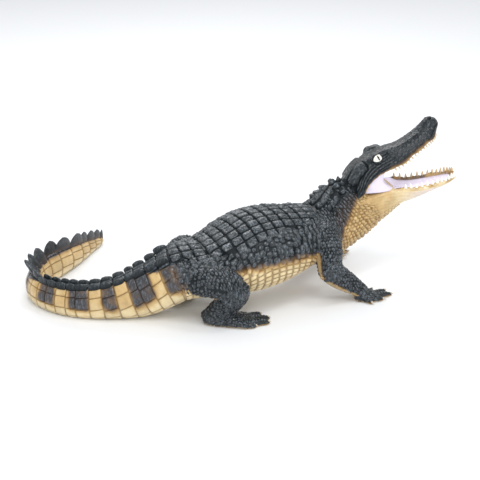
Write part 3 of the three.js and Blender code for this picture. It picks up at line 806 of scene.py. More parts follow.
def shape_jaw(points, normal, relief, lilac):
    """Lips and mouth hollow of the lower jaw."""
    local = jaw.inward(points)
    x, y, z = local.T
    rim, half = rim_of(jaw, x)
    rise = z - rim
    side = np.abs(y)
    inside_jaw = (x > 4) & (x < 92) & (z < rim + 2.5) & (z > -34) & (side < 24)
    outer = ramp(side / half, 0.5, 0.85)
    wave = np.sin(x * 0.42 + 2.4) * ramp(x, 34, 42)
    move = 0.4 * wave * outer * (1 - ramp(np.abs(rise + 2.5), 1, 3))
    line = np.sin((rise + 0.1 * x) * 2.4 + 2.0 * lattice_noise(local, 6.0, 8))
    cheek = outer * ramp(x, 4, 10) * (1 - ramp(x, 50, 70)) * (1 - ramp(np.abs(rise + 8), 5, 9))
    move += 0.09 * line * cheek
    relief += 0.06 * line * cheek * inside_jaw
    points += normal * (move * inside_jaw)[:, None]
    lift = (1 - ramp(np.abs(half - 1.3 - side), 0.6, 1.6)) * ramp(rise, -1.6, -0.4) * ramp(x, 34, 42)
    points += JAW_TURN[:, 2] * (lift * inside_jaw * np.where(y > 0, 1.8, 0.3))[:, None]
    floor = (normal @ JAW_TURN[:, 2]) > 0.25
    hollow = ramp(half - 2.0 - side, 0, 1.6) * ramp(x, 33, 37) * (1 - ramp(x, 84.5, 87))
    hollow *= inside_jaw & floor
    points -= JAW_TURN[:, 2] * (3.4 * hollow)[:, None]
    lilac[:] = np.maximum(lilac, ramp(hollow, 0.8, 0.98))
    lip = (side > half - 0.5) | (z < rim - 4.5)
    lilac[:] = np.maximum(lilac, 0.42 * ramp(x, 34, 60) * (inside_jaw & lip))


def shape_body(points, normal, relief):
    """Long folds of the body, creases at the joints and fine wrinkles of the bare skin."""
    for path, depth, width in BODY_FOLDS:
        places = np.arange(0, len(path) - 0.99, 0.25)
        u, angle = (np.interp(places, np.arange(len(path)), values) for values in zip(*path))
        for degrees in (angle, 180 - angle):
            groove = path_groove(points, body.surface(u, np.radians(degrees), -1.0), width)
            points -= normal * (groove * depth)[:, None]
            relief -= 0.8 * groove ** 2
    wrinkle = lattice_noise(points, 1.6, 9) - 0.5
    points += normal * (wrinkle * 0.25 * (points[:, 2] > 1.0))[:, None]


def make_skin():
    """One closed skin round every length, finer on the head."""
    made = skin_volume()
    remesh = made.modifiers.new("join", "REMESH")
    remesh.mode = "VOXEL"
    remesh.voxel_size = SKIN_VOXEL * MM
    smooth = made.modifiers.new("soften", "SMOOTH")
    smooth.factor = 0.5
    smooth.iterations = 5
    graph = bpy.context.evaluated_depsgraph_get()
    mesh = bpy.data.meshes.new_from_object(made.evaluated_get(graph))
    made.modifiers.clear()
    made.data = mesh
    points = positions(made)
    local, lower = head.inward(points), jaw.inward(points)
    on_upper = (local[:, 0] > -2) & (np.abs(local[:, 1]) < 25)
    on_lower = (lower[:, 0] > 2) & (np.abs(lower[:, 1]) < 25)
    fine = (on_upper | on_lower) & (points[:, 2] > 50) & (points[:, 0] > 70)
    work = bmesh.new()
    work.from_mesh(mesh)
    work.verts.ensure_lookup_table()
    edges = [e for e in work.edges if fine[e.verts[0].index] and fine[e.verts[1].index]]
    bmesh.ops.subdivide_edges(work, edges=edges, cuts=1, use_grid_fill=True, smooth=0.0)
    bmesh.ops.triangulate(work, faces=[f for f in work.faces if len(f.verts) > 4])
    work.to_mesh(mesh)
    work.free()
    mesh.shade_smooth()
    return made


class Form:
    """A scale on a unit square: x along, y across and height, with its relief."""

    def __init__(self, around, rings, square, crown, keel=0.0, tilt=0.0, edge=5):
        angle = np.arange(around) * 2 * math.pi / around
        radii = np.sin(np.linspace(0, math.pi / 2, rings + 1)[1:])
        reach = np.append(radii, 1.0)
        self.x = np.append(0.0, np.outer(reach, power(np.cos(angle), 2 / square)))
        self.y = np.append(0.0, np.outer(reach, power(np.sin(angle), 2 / square)))
        height = np.append(1.0, np.repeat(np.append(1 - radii ** crown, -1.0), around))
        radius = np.append(0.0, np.repeat(reach, around))
        ridge = keel * np.exp(-(self.y / 0.2) ** 2) * (1 - self.x ** 2 * 0.6) * (1 - radius ** 3)
        self.height = np.where(height >= 0, height * (1 + tilt * self.x) + ridge, height)
        self.relief = np.where(height >= 0, np.clip(1 - radius ** edge, 0, 1) + ridge * 0.4, 0)
        self.faces = [(0, 1 + k, 1 + (k + 1) % around) for k in range(around)]
        for ring in range(rings):
            a, b = 1 + ring * around, 1 + (ring + 1) * around
            for k in range(around):
                n = (k + 1) % around
                self.faces.append((a + k, b + k, b + n, a + n))
        self.faces.append(tuple(1 + rings * around + k for k in reversed(range(around))))


PLATE = Form(28, 8, 6.0, 8.0, keel=0.35, tilt=0.22, edge=9)
SHIELD = Form(20, 6, 2.8, 2.6, keel=0.35, tilt=0.25)
TIER = Form(28, 6, 9.0, 14.0, edge=16)
BEAD = Form(12, 4, 2.5, 2.4)
PEBBLE = Form(10, 3, 2.3, 2.2)
BELLY = Form(16, 4, 4.5, 5.0)


def ground(base):
    """Nearest places of the skin with its smooth normals, how far they are and their paint."""
    spots, _, index, far = zip(*(SKIN_TREE.find_nearest(Vector(place)) for place in base * MM))
    index = list(index)
    found = np.array([tuple(spot) for spot in spots]) / MM
    return found, FACE_NORMALS[index], np.array(far) / MM, FACE_DARK[index]


class Coat:
    """Scales of one piece, gathered and made into one mesh."""

    def __init__(self, name):
        self.name = name
        self.shapes, self.paint, self.uv = [], [], []

    def add(self, loft, u, arc, long, wide, high, form, sink=0.9, reach=1.9, spin=0.0, rough=0.0,
            darkest=False):
        """Scales on a loft at places u and lengths round it from the top."""
        u, arc, long, wide, high, spin = spread(u, arc, long, wide, high, spin)
        angle = loft.angle_at(u, arc)
        far, shade = ground(loft.surface(u, angle))[2:]
        keep = far < reach + coat_depth(loft, u, angle)
        if darkest:
            keep &= shade > 0.42
        u, arc, long, wide, high, spin, angle = (v[keep] for v in (u, arc, long, wide, high, spin, angle))
        count = len(u)
        if not count:
            return
        c, s = np.cos(spin)[:, None], np.sin(spin)[:, None]
        x = form.x[None] * long[:, None] / 2
        y = form.y[None] * wide[:, None] / 2
        uu = (u[:, None] + (x * c - y * s) / loft.pace(u, angle)[:, None]).ravel()
        aa = loft.angle_at(uu, (arc[:, None] + (x * s + y * c)).ravel())
        base, normal, _, shade = ground(loft.surface(uu, aa))
        height = np.where(form.height < 0, form.height * sink, form.height * high[:, None]).ravel()
        top = np.tile(np.clip(form.height, 0, 1), count)
        height += rough * top * (lattice_noise(base, 1.3, 15) + lattice_noise(base, 2.6, 16) - 1)
        points = base + normal * height[:, None]
        points[:, 2] = np.maximum(points[:, 2], 0.05)
        dark = shade if darkest else paint_of(loft, uu, aa, points, normal)
        tone = np.repeat(random.random(count), len(form.x))
        uv = np.repeat(atlas(loft, u, angle), len(form.x), axis=0)
        uv += np.tile(np.column_stack([form.x, form.y]), (count, 1)) * PATCH
        paint = np.column_stack([dark, np.tile(form.relief, count), tone])
        self.gather(points, form.faces, count, paint, uv)

    def gather(self, points, faces, copies, paint, uv):
        self.shapes += [(part, faces) for part in np.split(points, copies)]
        self.paint.append(paint)
        self.uv.append(uv)

    def finish(self, slot="dark_paint"):
        made = mesh_object(self.name, *gathered(self.shapes))
        add_colours(made, np.vstack(self.paint))
        add_uv(made, np.vstack(self.uv)[corners_of(made)[0]])
        show(made, PAINT, slot)
        print(self.name, len(made.data.polygons), "faces")


def stations(loft, start, end, spacing, degrees):
    """Places u with an even spacing along the surface at an angle."""
    u = np.linspace(start, end, 600)
    points = loft.surface(u, math.radians(degrees))
    length = np.concatenate([[0], np.cumsum(np.linalg.norm(np.diff(points, axis=0), axis=1))])
    count = max(int(round(length[-1] / spacing)), 1)
    return np.interp((np.arange(count) + 0.5) * length[-1] / count, length, u)


def lattice(places, width, low, high, stagger=0.5):
    """Places and lengths round them, in columns of one width between two lengths round each station."""
    found = []
    for i, u in enumerate(places):
        shift = (i % 2) * stagger
        first, last = math.ceil(low(u) / width - 0.5 - shift), math.floor(high(u) / width - 0.5 - shift)
        found += [(u, (k + 0.5 + shift) * width) for k in range(first, last + 1)]
    return np.array(found).T


ARMOUR_U = [3.0, 3.8, 4.5, 5.3, 6.0, 6.6, 7.2, 7.8, 8.6, 9.5]
ARMOUR_ANGLE = [26, 32, 38, 44, 48, 45, 40, 32, 36, 40]
WHORLS = [
    9.25, 9.7, 10.2, 10.68, 11.13, 11.68, 12.2, 12.67, 13.15, 13.52, 13.93, 14.35, 14.75, 15.15, 15.6, 16.05,
    16.5, 17.1, 17.85, 18.6, 19.3, 19.9, 20.4, 20.9, 21.4,
]
LONE_CRESTS = [15.0, 15.42, 15.85, 16.3, 16.77, 17.52, 18.22, 19.09, 19.63, 20.16, 20.63, 21.22]

# Humps of the nape: place, length round from the top and size
HUMPS = [
    (0.62, 4.2, 5.5), (0.98, 4.2, 6.2), (0.98, 12.5, 5), (1.42, 4.6, 7.8), (1.42, 13.5, 6.5),
    (1.84, 4.8, 8.2), (1.84, 14.0, 7.0), (2.28, 4.6, 7.4), (2.28, 13.0, 5.5), (2.66, 4.4, 6.5),
]


def armour_arc(u):
    """Length round from the top to the edge of the back's plates."""
    return body.side_arc(u, 90 + np.interp(u, ARMOUR_U, ARMOUR_ANGLE))


def add_back():
    """Rows of keeled plates over the back."""
    coat = Coat("back_plates")
    rows = stations(body, 3.05, 9.25, 9.3, 90)
    u, arc = lattice(rows, 8.1, lambda u: -armour_arc(u) - 2, lambda u: armour_arc(u) + 2, stagger=0.0)
    edge = np.abs(arc) / np.array([armour_arc(place) for place in u])
    high = 1.55 - 0.35 * np.clip(edge, 0, 1) ** 2 + jittered(len(u), 0.15)
    coat.add(body, u, arc + jittered(len(u), 0.15), 8.95, 7.75, high, PLATE, reach=2.4, rough=0.7)
    coat.finish()


def add_flanks():
    """Rounded beads on the flanks."""
    coat = Coat("flank_beads")
    rows = stations(body, 3.0, 9.45, 4.8, 150)
    for sign in (1, -1):
        u, arc = lattice(rows, 4.6, lambda u: armour_arc(u) + 1.2, lambda u: body.side_arc(u, 178))
        count = len(u)
        size = 1 + jittered(count, 0.22)
        fore = 1 - ramp(u, 3.6, 5.2)
        coat.add(
            body, u + jittered(count, 0.05), sign * arc + jittered(count, 0.9), (5.7 - 2.2 * fore) * size,
            (5.4 + 2.4 * fore) * size, (1.15 - 0.3 * fore) * size, BEAD, reach=1.8,
            spin=jittered(count, 0.45), rough=0.9)
    coat.finish()


def add_neck():
    """Raised humps on the nape, small beads on the neck and fine scales on the throat."""
    humps, beads, throat = Coat("nape_humps"), Coat("neck_beads"), Coat("throat_scales")
    for u, arc, size in HUMPS:
        for sign in (1, -1):
            humps.add(body, u, sign * arc, size * 1.08, size, 2.7, SHIELD, reach=2.8, rough=0.6)
    humps.finish()
    for sign in (1, -1):
        rows = stations(body, 0.15, 3.0, 2.5, 160)
        u, arc = lattice(rows, 4.6, lambda u: 8.0, lambda u: body.side_arc(u, 172))
        size = 1 + jittered(len(u), 0.15)
        free = np.ones(len(u), bool)
        for hump_u, hump_arc, width in HUMPS:
            free &= np.hypot((u - hump_u) * 19, arc - hump_arc) > width * 0.5 + 1.2
        u, arc, size = u[free], arc[free], size[free]
        beads.add(body, u, sign * arc + jittered(len(u), 0.8), 2.3 * size, 4.9 * size, 0.85 * size, BEAD,
                  spin=jittered(len(u), 0.3), rough=0.4)
        rows = stations(body, 0.2, 3.4, 3.5, 200)
        u, arc = lattice(rows, 3.3, lambda u: body.side_arc(u, 172), lambda u: body.side_arc(u, 268))
        size = 1 + jittered(len(u), 0.25)
        throat.add(body, u + jittered(len(u), 0.02), sign * arc + jittered(len(u), 0.4), 3.5 * size,
                   3.3 * size, size, BEAD, spin=jittered(len(u), 0.4), rough=0.4)
    rows = stations(jaw, 0.4, 4.2, 3.5, 270)
    u, arc = lattice(rows, 3.3, lambda u: jaw.side_arc(u, 215), lambda u: jaw.side_arc(u, 268))
    for sign in (1, -1):
        throat.add(jaw, u, sign * arc, 3.3, 3.0, 0.6, BEAD)
    beads.finish()
    throat.finish("cream_paint")


def add_belly():
    """Square scales in rows under the trunk and up its lower sides."""
    coat = Coat("belly_scales")
    rows = stations(body, 3.4, 9.2, 6.1, 200)
    u, arc = lattice(rows, 4.4, lambda u: body.side_arc(u, 178) + 0.6, lambda u: body.side_arc(u, 270),
                     stagger=0.0)
    for sign in (1, -1):
        coat.add(body, u, sign * arc, 5.7, 4.1, 0.8 + jittered(len(u), 0.08), BELLY)
    coat.finish("cream_paint")


def add_tail():
    """Rings of plates round the tail, one set for each whorl."""
    coat = Coat("tail_plates")
    for start, end in zip(WHORLS[:-1], WHORLS[1:]):
        u = (start + end) / 2
        first = body.side_arc(u, 90 + np.interp(u, CREST_BAND_U, CREST_TIER_ANGLE))
        tiers = [first] + [body.side_arc(u, degrees) for degrees in (163, 188, 225, 270)]
        columns = 2 if first > 9 else 1
        for sign in (1, -1):
            for low, high in zip(tiers[:-1], tiers[1:]):
                arc = sign * (low + high) / 2
                length = body.pace_at(u, body.angle_at([u], [arc])) * (end - start)
                coat.add(body, u, arc, length - 0.2, high - low - 0.15, 0.7, TIER, sink=0.6, rough=0.35)
            length = body.pace_at(u) * (end - start)
            for k in range(columns):
                arc = sign * (k + 0.5) * first / columns
                coat.add(body, u, arc, length - 0.4, first / columns - 0.3, 1.1, TIER, sink=0.6, rough=0.6)
    coat.finish()


def crest_height(u):
    """Height of the standing scutes: low on the hips, highest past the bend, low at the tip."""
    if u < 14.95:
        return 2.3 + 0.42 * (u - 9.5)
    if u < 17.6:
        return 6.0 + 4.4 * (u - 14.95) / 2.65
    return 10.4 - 1.25 * (u - 17.6)


def leaf(length, thick, height, fullness, root=2.2, square=1.0, plump=0.0):
    """A standing scute: a flat leaf that leans forwards a little, with its bottom below the surface."""
    levels, around, lean = 10, 24, 0.12
    points, relief = [], []
    angle = np.arange(around) * 2 * math.pi / around
    run, bulge = power(np.cos(angle), square), power(np.sin(angle), 1.2 * square)
    for i in range(levels + 1):
        t = i / levels
        width = (1 - t ** fullness) ** 0.6
        depth = (1 - t) ** 0.8 * 0.85 + 0.15 * (1 - t ** 4)
        depth += (width - depth) * plump
        x = run * length / 2 * max(width, 0.04) + lean * height * max(t - 0.15, 0) ** 1.3
        y = bulge * thick / 2 * max(depth, 0.06)
        points.append(np.column_stack([x, y, np.full(around, (height + root) * t - root)]))
        relief.append(np.clip(0.15 + 0.75 * t + 0.25 * np.abs(np.cos(angle)) ** 6, 0, 1))
    return np.vstack(points), np.concatenate(relief), ring_faces(levels, around)


def add_crests():
    """Two rows of standing scutes that grow along the tail and merge into one row past its bend."""
    coat = Coat("tail_crest")
    middles = [(a + b) / 2 for a, b in zip(WHORLS[:-1], WHORLS[1:])]
    plan = [(u, side) for u in middles if u < 14.95 for side in (1, -1)] + [(u, 0) for u in LONE_CRESTS]
    places = np.array([u for u, side in plan if side >= 0])
    gaps = np.gradient(places)
    for u, side in plan:
        row = body.row(u)
        along, across, up = (v[0] for v in body.axes(np.array([u])))
        height = crest_height(u) + 0.8
        length = body.pace_at(u) * float(np.interp(u, places, gaps)) * (1.01 if side else 1.38)
        if side:
            depth = 2.0 if u < 11.2 else 0.6
            points, relief, faces = leaf(length, 4.0, height, 6.0, root=depth, square=0.45)
        else:
            plump = max(1 - abs(u - 15.8) / 1.6, 0) ** 0.5
            points, relief, faces = leaf(length, 3.2 + 4.2 * plump, height, 2.3, plump=plump)
        lean_out = 0.8 * max(1 - abs(u - 15.9) / 2.2, 0) - 0.05 * side
        points = points + (random.random(3) - 0.5) * 0.4
        beside = side * row[3] * (1 - row[6]) * 0.55
        root = row[:3] + up * (row[4] - (1.6 if side else 0.9)) + across * beside
        x, y, z = points.T[:, :, None]
        world = root + x * along + y * across + z * (up - across * lean_out) - ORIGIN
        uv = atlas(body, np.array([u]), np.array([math.pi / 2]))
        uv = uv + np.column_stack([points[:, 0] / 9, points[:, 2] / 14]) * PATCH
        past = ramp(u, 15, 18)
        dark = 1 - 0.12 * past - 0.25 * past * (1 - ramp(points[:, 2], 0, 4))
        tone = np.full(len(points), random.random())
        coat.gather(world, faces, 1, np.column_stack([dark, relief, tone]), uv)
    coat.finish()


def add_limbs():
    """Pebble scales on the legs and broad scutes over the toes."""
    coats = {side: Coat(side + "_leg_pebbles") for side in ("right", "left")}
    toes = Coat("toe_scutes")
    for loft in limbs:
        if "toe" in loft.name:
            rows = stations(loft, 0.5, 3.6, 2.3, 90)
            toes.add(loft, rows, 0.0, 2.2, np.interp(rows, [0, 4], [4.6, 2.6]) * 1.1, 0.5, BEAD, reach=1.8)
            continue
        size, height = (2.2, 0.5) if "foot" in loft.name else (2.8, 0.85)
        rows = stations(loft, 0.1, loft.last - 0.15, size, 0)
        u, arc = lattice(rows, size, lambda u: -loft.side_arc(u, 269), lambda u: loft.side_arc(u, 269))
        count = len(u)
        scale = 1 + jittered(count, 0.3)
        high = height * (1 + jittered(count, 0.4))
        coats[loft.name.split("_")[0]].add(
            loft, u + jittered(count, 0.5) / loft.pace(u, 0.0), arc + jittered(count, 0.5),
            size * 1.22 * scale, size * 1.15 * scale, high, PEBBLE,
            reach=8.0 if "leg_upper" in loft.name else 3.0, spin=jittered(count, 0.8), rough=0.4,
            darkest=True)
    for coat in coats.values():
        coat.finish()
    toes.finish()


# Colours of the paint from cream, through gold and brown, to slate
PAINT_STOPS = [
    (0.0, (0.78, 0.64, 0.38, 1)),
    (0.16, (0.60, 0.42, 0.185, 1)),
    (0.34, (0.42, 0.26, 0.09, 1)),
    (0.52, (0.17, 0.10, 0.045, 1)),
    (0.72, (0.050, 0.042, 0.042, 1)),
    (0.88, (0.024, 0.029, 0.034, 1)),
    (1.0, (0.015, 0.022, 0.026, 1)),
]
LILAC = (0.74, 0.68, 0.81, 1)
BROWN_WASH = (0.16, 0.085, 0.03, 1)
BLACK_WASH = (0.006, 0.007, 0.008, 1)
# Blue-grey of the dry brush and of the painted highlights on raised tops of the dark paint
DRY_BRUSH_AND_HIGHLIGHT = (0.24, 0.29, 0.36, 1)
EYE_WHITES = (0.80, 0.76, 0.66, 1), (0.92, 0.90, 0.84, 1)
PUPIL_BLACK = (0.008, 0.008, 0.01, 1)


class Paint:
    """A new material, with short ways to add nodes to it and to join them."""

    def __init__(self, name):
        self.material = bpy.data.materials.new(name)
        self.material.use_nodes = True
        self.tree = self.material.node_tree
        self.shader = self.tree.nodes["Principled BSDF"]

    def give(self, socket, value):
        """Joins a node's output to a socket, or writes a plain value in it."""
        if isinstance(value, bpy.types.NodeSocket):
            self.tree.links.new(value, socket)
        else:
            socket.default_value = value

    def node(self, kind, inputs, **values):
        node = self.tree.nodes.new("ShaderNode" + kind)
        for key, value in values.items():
            setattr(node, key, value)
        for key, value in inputs.items():
            self.give(node.inputs[key], value)
        return node

    def finish(self, **values):
        """Writes or joins inputs of the shader, named with _ for a space."""
        for key, value in values.items():
            self.give(self.shader.inputs[key.replace("_", " ")], value)
        return self.material

    def attribute(self, name):
        return self.node("Attribute", {}, attribute_name=name).outputs

    def mix(self, factor, a, b):
        return self.node("Mix", {0: factor, 6: a, 7: b}, data_type="RGBA").outputs[2]

    def maths(self, operation, a, b=0.0, c=0.0, clamp=False):
        return self.node("Math", {0: a, 1: b, 2: c}, operation=operation, use_clamp=clamp).outputs[0]

    def times(self, *factors):
        product = factors[0]
        for factor in factors[1:]:
            product = self.maths("MULTIPLY", product, factor)
        return product

    def less(self, a, b, clamp=False):
        return self.maths("SUBTRACT", a, b, clamp=clamp)

    def line(self, value, slope, start, clamp=False):
        """The value times a slope, plus a start."""
        return self.maths("MULTIPLY_ADD", value, slope, start, clamp)

    def noise(self, scale, detail=3.0, rise=1.0):
        """Noise in the object's own coordinates, drawn out upwards where rise is below 1."""
        place = self.node("TexCoord", {}).outputs["Object"]
        stretched = self.node("VectorMath", {0: place, 1: (1.0, 1.0, rise)}, operation="MULTIPLY").outputs[0]
        return self.node("TexNoise", {"Vector": stretched, "Scale": scale, "Detail": detail}).outputs["Fac"]


def paint_material():
    """Sprayed paint from cream to slate, with wash in the grooves, and dry brush with painted highlights on
    the tops.
    """
    paint = Paint("painted_vinyl")
    parts = paint.node("SeparateColor", {0: paint.attribute("paint")["Color"]})
    dark, relief, tone = parts.outputs
    speck = paint.noise(900.0)
    shifted = paint.line(paint.less(speck, 0.5), 0.10, dark)
    shifted = paint.line(paint.less(paint.noise(160.0), 0.5), 0.26, shifted)
    colours = paint.node("ValToRGB", {0: shifted})
    stops = colours.color_ramp.elements
    while len(stops) < len(PAINT_STOPS):
        stops.new(0.5)
    for stop, (place, colour) in zip(stops, PAINT_STOPS):
        stop.position = place
        stop.color = colour
    groove = paint.less(1.0, relief, clamp=True)
    light = paint.less(1.0, dark, clamp=True)
    base = paint.mix(paint.times(groove, light, 0.85), colours.outputs[0], BROWN_WASH)
    base = paint.mix(paint.times(groove, dark, 0.7), base, BLACK_WASH)
    # Dry brush and painted highlight: blue-grey on the raised tops of dark paint, in patches drawn out
    # upwards like glossy streaks
    high = paint.times(paint.maths("POWER", relief, 2.0), dark)
    patchy = paint.less(paint.noise(700.0, 6.0, 0.4), 0.50, clamp=True)
    patchy = paint.maths("MULTIPLY", patchy, 7.0, clamp=True)
    base = paint.mix(paint.times(high, paint.line(patchy, 0.33, 0.01)), base, DRY_BRUSH_AND_HIGHLIGHT)
    toned = paint.node("VectorMath", {0: base, "Scale": paint.line(tone, 0.22, 0.89)}, operation="SCALE")
    base = paint.mix(paint.attribute("lilac")["Fac"], toned.outputs[0], LILAC)
    grain = paint.node("Bump", {"Strength": 0.5, "Distance": 0.0005, "Height": speck}).outputs[0]
    paint.finish(Specular_IOR_Level=paint.line(relief, 0.55, 0.04, clamp=True), Normal=grain)
    return paint.finish(Base_Color=base, Roughness=paint.line(speck, 0.16, 0.14))


def plain_paint(name, colour, second, scale, rough):
    """Paint mottled between two near colours."""
    paint = Paint(name)
    mottle = paint.noise(scale)
    mixed = paint.mix(mottle, colour, second)
    return paint.finish(Base_Color=mixed, Roughness=paint.line(mottle, 0.2, rough))


def eye_material():
    """Glossy off-white with a black pupil where the eyeball's own values say so."""
    paint = Paint("painted_eye")
    white = paint.mix(paint.noise(500.0), *EYE_WHITES)
    colour = paint.mix(paint.attribute("pupil")["Fac"], white, PUPIL_BLACK)
    return paint.finish(Base_Color=colour, Roughness=0.12, Coat_Weight=0.5)


EYE_GAZE = unit(np.array([0.30, 1.0, 0.30]))
LID_STEPS = 72
OPENING_LONG, OPENING_TALL = math.radians(64), math.radians(38)
OPENING_SQUARE = 1.75
SLIT_LONG, SLIT_TALL = 0.185, 0.52

# Section of a lid: distance back from the opening's edge, and radius
LID_PROFILE = [
    (0.0, 4.2), (0.0, 4.55), (0.05, 4.74), (0.16, 4.86), (0.34, 4.85), (0.6, 4.8), (0.95, 4.65), (1.3, 4.5),
    (1.25, 3.6),
]


def gaze_axes(side):
    """An eye's own axes: the way it looks, along the slit's width and up the slit."""
    gaze = EYE_GAZE * (1, side, 1)
    tall = unit(UP - gaze * (UP @ gaze) + np.array([0.12, 0, 0]))
    tall = unit(tall - gaze * (tall @ gaze))
    return np.column_stack([gaze, np.cross(tall, gaze), tall])


def polar_points(polar, turn):
    """Directions at an angle from the gaze and a turn round it."""
    return np.column_stack([np.cos(polar), np.sin(polar) * np.cos(turn), np.sin(polar) * np.sin(turn)])


def add_eyes():
    """Eyeballs with slit pupils, and lids round them."""
    lids = Coat("eyelids")
    for side, word in ((1, "left"), (-1, "right")):
        axes = gaze_axes(side)
        centre = EYE_PLACE * (1, side, 1)
        rings, around = 48, 96
        polar = np.repeat(np.linspace(0.001, math.pi - 0.001, rings + 1), around)
        turn = np.tile(np.arange(around) * 2 * math.pi / around, rings + 1)
        local = polar_points(polar, turn)
        points = head.outward(local @ axes.T * EYE_RADIUS + centre)
        ball = mesh_object(word + "_eyeball", points, ring_faces(rings, around))
        slit = np.sqrt((local[:, 1] / SLIT_LONG) ** 2 + (local[:, 2] / SLIT_TALL) ** 2)
        dark = (1 - ramp(slit, 0.85, 1.15)) * (local[:, 0] > 0)
        layer = ball.data.attributes.new("pupil", "FLOAT", "POINT")
        layer.data.foreach_set("value", dark.astype(np.float32))
        show(ball, EYE, "eye_paint", word + "_eye")
        turn = np.arange(LID_STEPS) * 2 * math.pi / LID_STEPS
        pinch = (np.abs(np.cos(turn)) / OPENING_LONG) ** OPENING_SQUARE
        pinch += (np.abs(np.sin(turn)) / OPENING_TALL) ** OPENING_SQUARE
        inner = pinch ** (-1 / OPENING_SQUARE)
        lid, paint = [], []
        for extra, radius in LID_PROFILE:
            reach = np.minimum(inner + extra * 1.1, math.radians(135))
            lid.append(polar_points(reach, turn) @ axes.T * radius + centre)
            shade = 0.0 if extra < 0.05 else min(0.35 + extra, 0.8)
            paint.append(np.tile([1.0, shade, 0.3], (LID_STEPS, 1)))
        rings = len(LID_PROFILE)
        place = atlas(head, np.array([4.5]), np.array([math.pi / 2 - side * 0.6]))
        uv = place + np.tile(np.column_stack([np.cos(turn), np.sin(turn)]), (rings, 1)) * PATCH
        faces = ring_faces(rings - 1, LID_STEPS, joined=True)
        lids.gather(head.outward(np.vstack(lid)), faces, 1, np.vstack(paint), uv)
    lids.finish()


def tooth(height, radius, curve):
    """A cone that rounds in to its tip and curves sideways."""
    levels, around = 6, 10
    points = []
    angle = np.arange(around) * 2 * math.pi / around
    for i in range(levels + 1):
        t = i / levels
        size = radius * max((1 - t ** 1.6) ** 0.8, 0.08)
        rise = np.full(around, height * t)
        points.append(np.column_stack([np.cos(angle) * size, np.sin(angle) * size + curve * t * t, rise]))
    return np.vstack(points), ring_faces(levels, around)


def add_teeth(name, loft, first, last, count, inset, tall):
    """Small teeth inside the rim of a jaw, on both sides and round the tip."""
    shapes, stained = [], []
    direction = 1 if loft is jaw else -1
    tip = loft.table[-1, 0]
    for i in range(count):
        x = first + (last - first) * math.sin((i + 0.5) / count * math.pi / 2) ** 1.05
        rim, half = (v[0] for v in rim_of(loft, np.array([x])))
        height = tall * (1 + 0.2 * math.sin(i * 2.1) + 0.12 * math.sin(i * 5.3))
        for side in (1, -1):
            stout = (1.3 if side < 0 else 1.1) if direction > 0 else 0.7
            above = 1.6 if direction > 0 and side > 0 else 0.0
            points, faces = tooth(height * (0.7 if side > 0 else 1) + 1.4 + above, stout, -0.4 * side)
            place = np.array([min(x, tip - 1.4), side * max(half - inset, 0.5), rim - direction * 1.4])
            faces = [face[::direction] for face in faces]
            shapes.append((loft.outward(points * (1, 1, direction) + place), faces))
            stained += [side > 0 or direction < 0] * len(faces)
    made = mesh_object(name, *gathered(shapes))
    show(made, TOOTH, "cream_paint")
    made.data.materials.append(STAINED)
    made.data.polygons.foreach_set("material_index", np.array(stained, np.int32))


def mouth_sheet(name, loft, first, last, node):
    """Lining of one jaw: hollowed across, with low ridges, and a raised middle on the floor."""
    steps, across = 90, 28
    direction = 1 if loft is jaw else -1
    x = np.linspace(first, last, steps + 1)
    t = np.linspace(-1, 1, across + 1)
    rim, half = rim_of(loft, x)
    wide = np.maximum(half - 3.2, 0.3) * np.sqrt(np.clip(1 - ramp(x, last - 6, last + 0.5) * 0.75, 0.05, 1))
    y = wide[:, None] * t[None]
    x = x[:, None]
    arch = 2.0 * (1 - np.abs(t) ** 2.5)[None] * ramp(x, first - 1, first + 3)
    if direction > 0:
        arch = arch - 1.3 * bump(y, 0, 6.5) * ramp(x, 36, 46) * (1 - ramp(x, 62, 76))
        arch = arch + 0.35 * bump(y, 0, 0.8) * ramp(x, 40, 50)
        arch = arch + 0.10 * np.sin(x * 1.9 + np.abs(y) * 0.5)
        z = rim[:, None] - (0.35 + arch) - 2.3 * ramp(x, 37, 44) + 0.55 * arch * ramp(x, 37, 44)
    else:
        arch = arch + 0.25 * np.sin(x * 1.7 - np.abs(y) * 0.4) * (1 - t ** 4)[None]
        z = rim[:, None] + (0.35 + arch) + 1.3
    front = np.stack([np.broadcast_to(x, z.shape), y, z], -1).reshape(-1, 3)
    back = front - (0, 0, direction * 0.8)
    count, n = len(front), across + 1
    faces = []
    for i in range(steps):
        for k in range(across):
            quad = (i * n + k, (i + 1) * n + k, (i + 1) * n + k + 1, i * n + k + 1)[::direction]
            faces.append(quad)
            faces.append(tuple(v + count for v in reversed(quad)))
    edge = [k for k in range(n)] + [i * n + across for i in range(1, steps + 1)]
    edge += [steps * n + k for k in reversed(range(across))] + [i * n for i in reversed(range(1, steps))]
    faces += [(a, b, b + count, a + count)[::direction] for a, b in zip(edge, edge[1:] + edge[:1])]
    made = mesh_object(name, loft.outward(np.vstack([front, back])), faces)
    show(made, MOUTH, "mouth_paint", node)


def add_throat():
    """Smooth wall that fills the angle between the jaws, hollow across its front."""
    around, levels = 64, 28
    turn = np.arange(around) * 2 * math.pi / around
    run, back = np.abs(np.cos(turn)), np.cos(turn) < 0
    share = power(np.sin(turn), 0.42)
    points = []
    for i in range(levels + 1):
        t = i / levels
        pitch = math.radians(-4 + 36 * t)
        reach = 39 - 9.5 * math.sin(math.pi * t) ** 0.8
        r = np.where(back, 9 + 8 * run * np.cos(turn), 9 + (reach - 9) * run ** 0.45)
        r = r - 5.0 * (1 - np.abs(share) ** 3) * (~back)
        y = share * np.interp(r, [0, 5, 13, 24, 40], [13.5, 15.8, 18.2, 17.0, 14.4])
        y = y - np.sign(y) * 0.7 * np.exp(-((r - 31) / 1.4) ** 2) * (np.abs(share) > 0.8)
        points.append(np.column_stack([r * math.cos(pitch), y, r * math.sin(pitch) - 0.6]))
    made = mesh_object("throat_membrane", jaw.outward(np.vstack(points)), ring_faces(levels, around))
    show(made, MOUTH, "mouth_paint", "throat_wall")


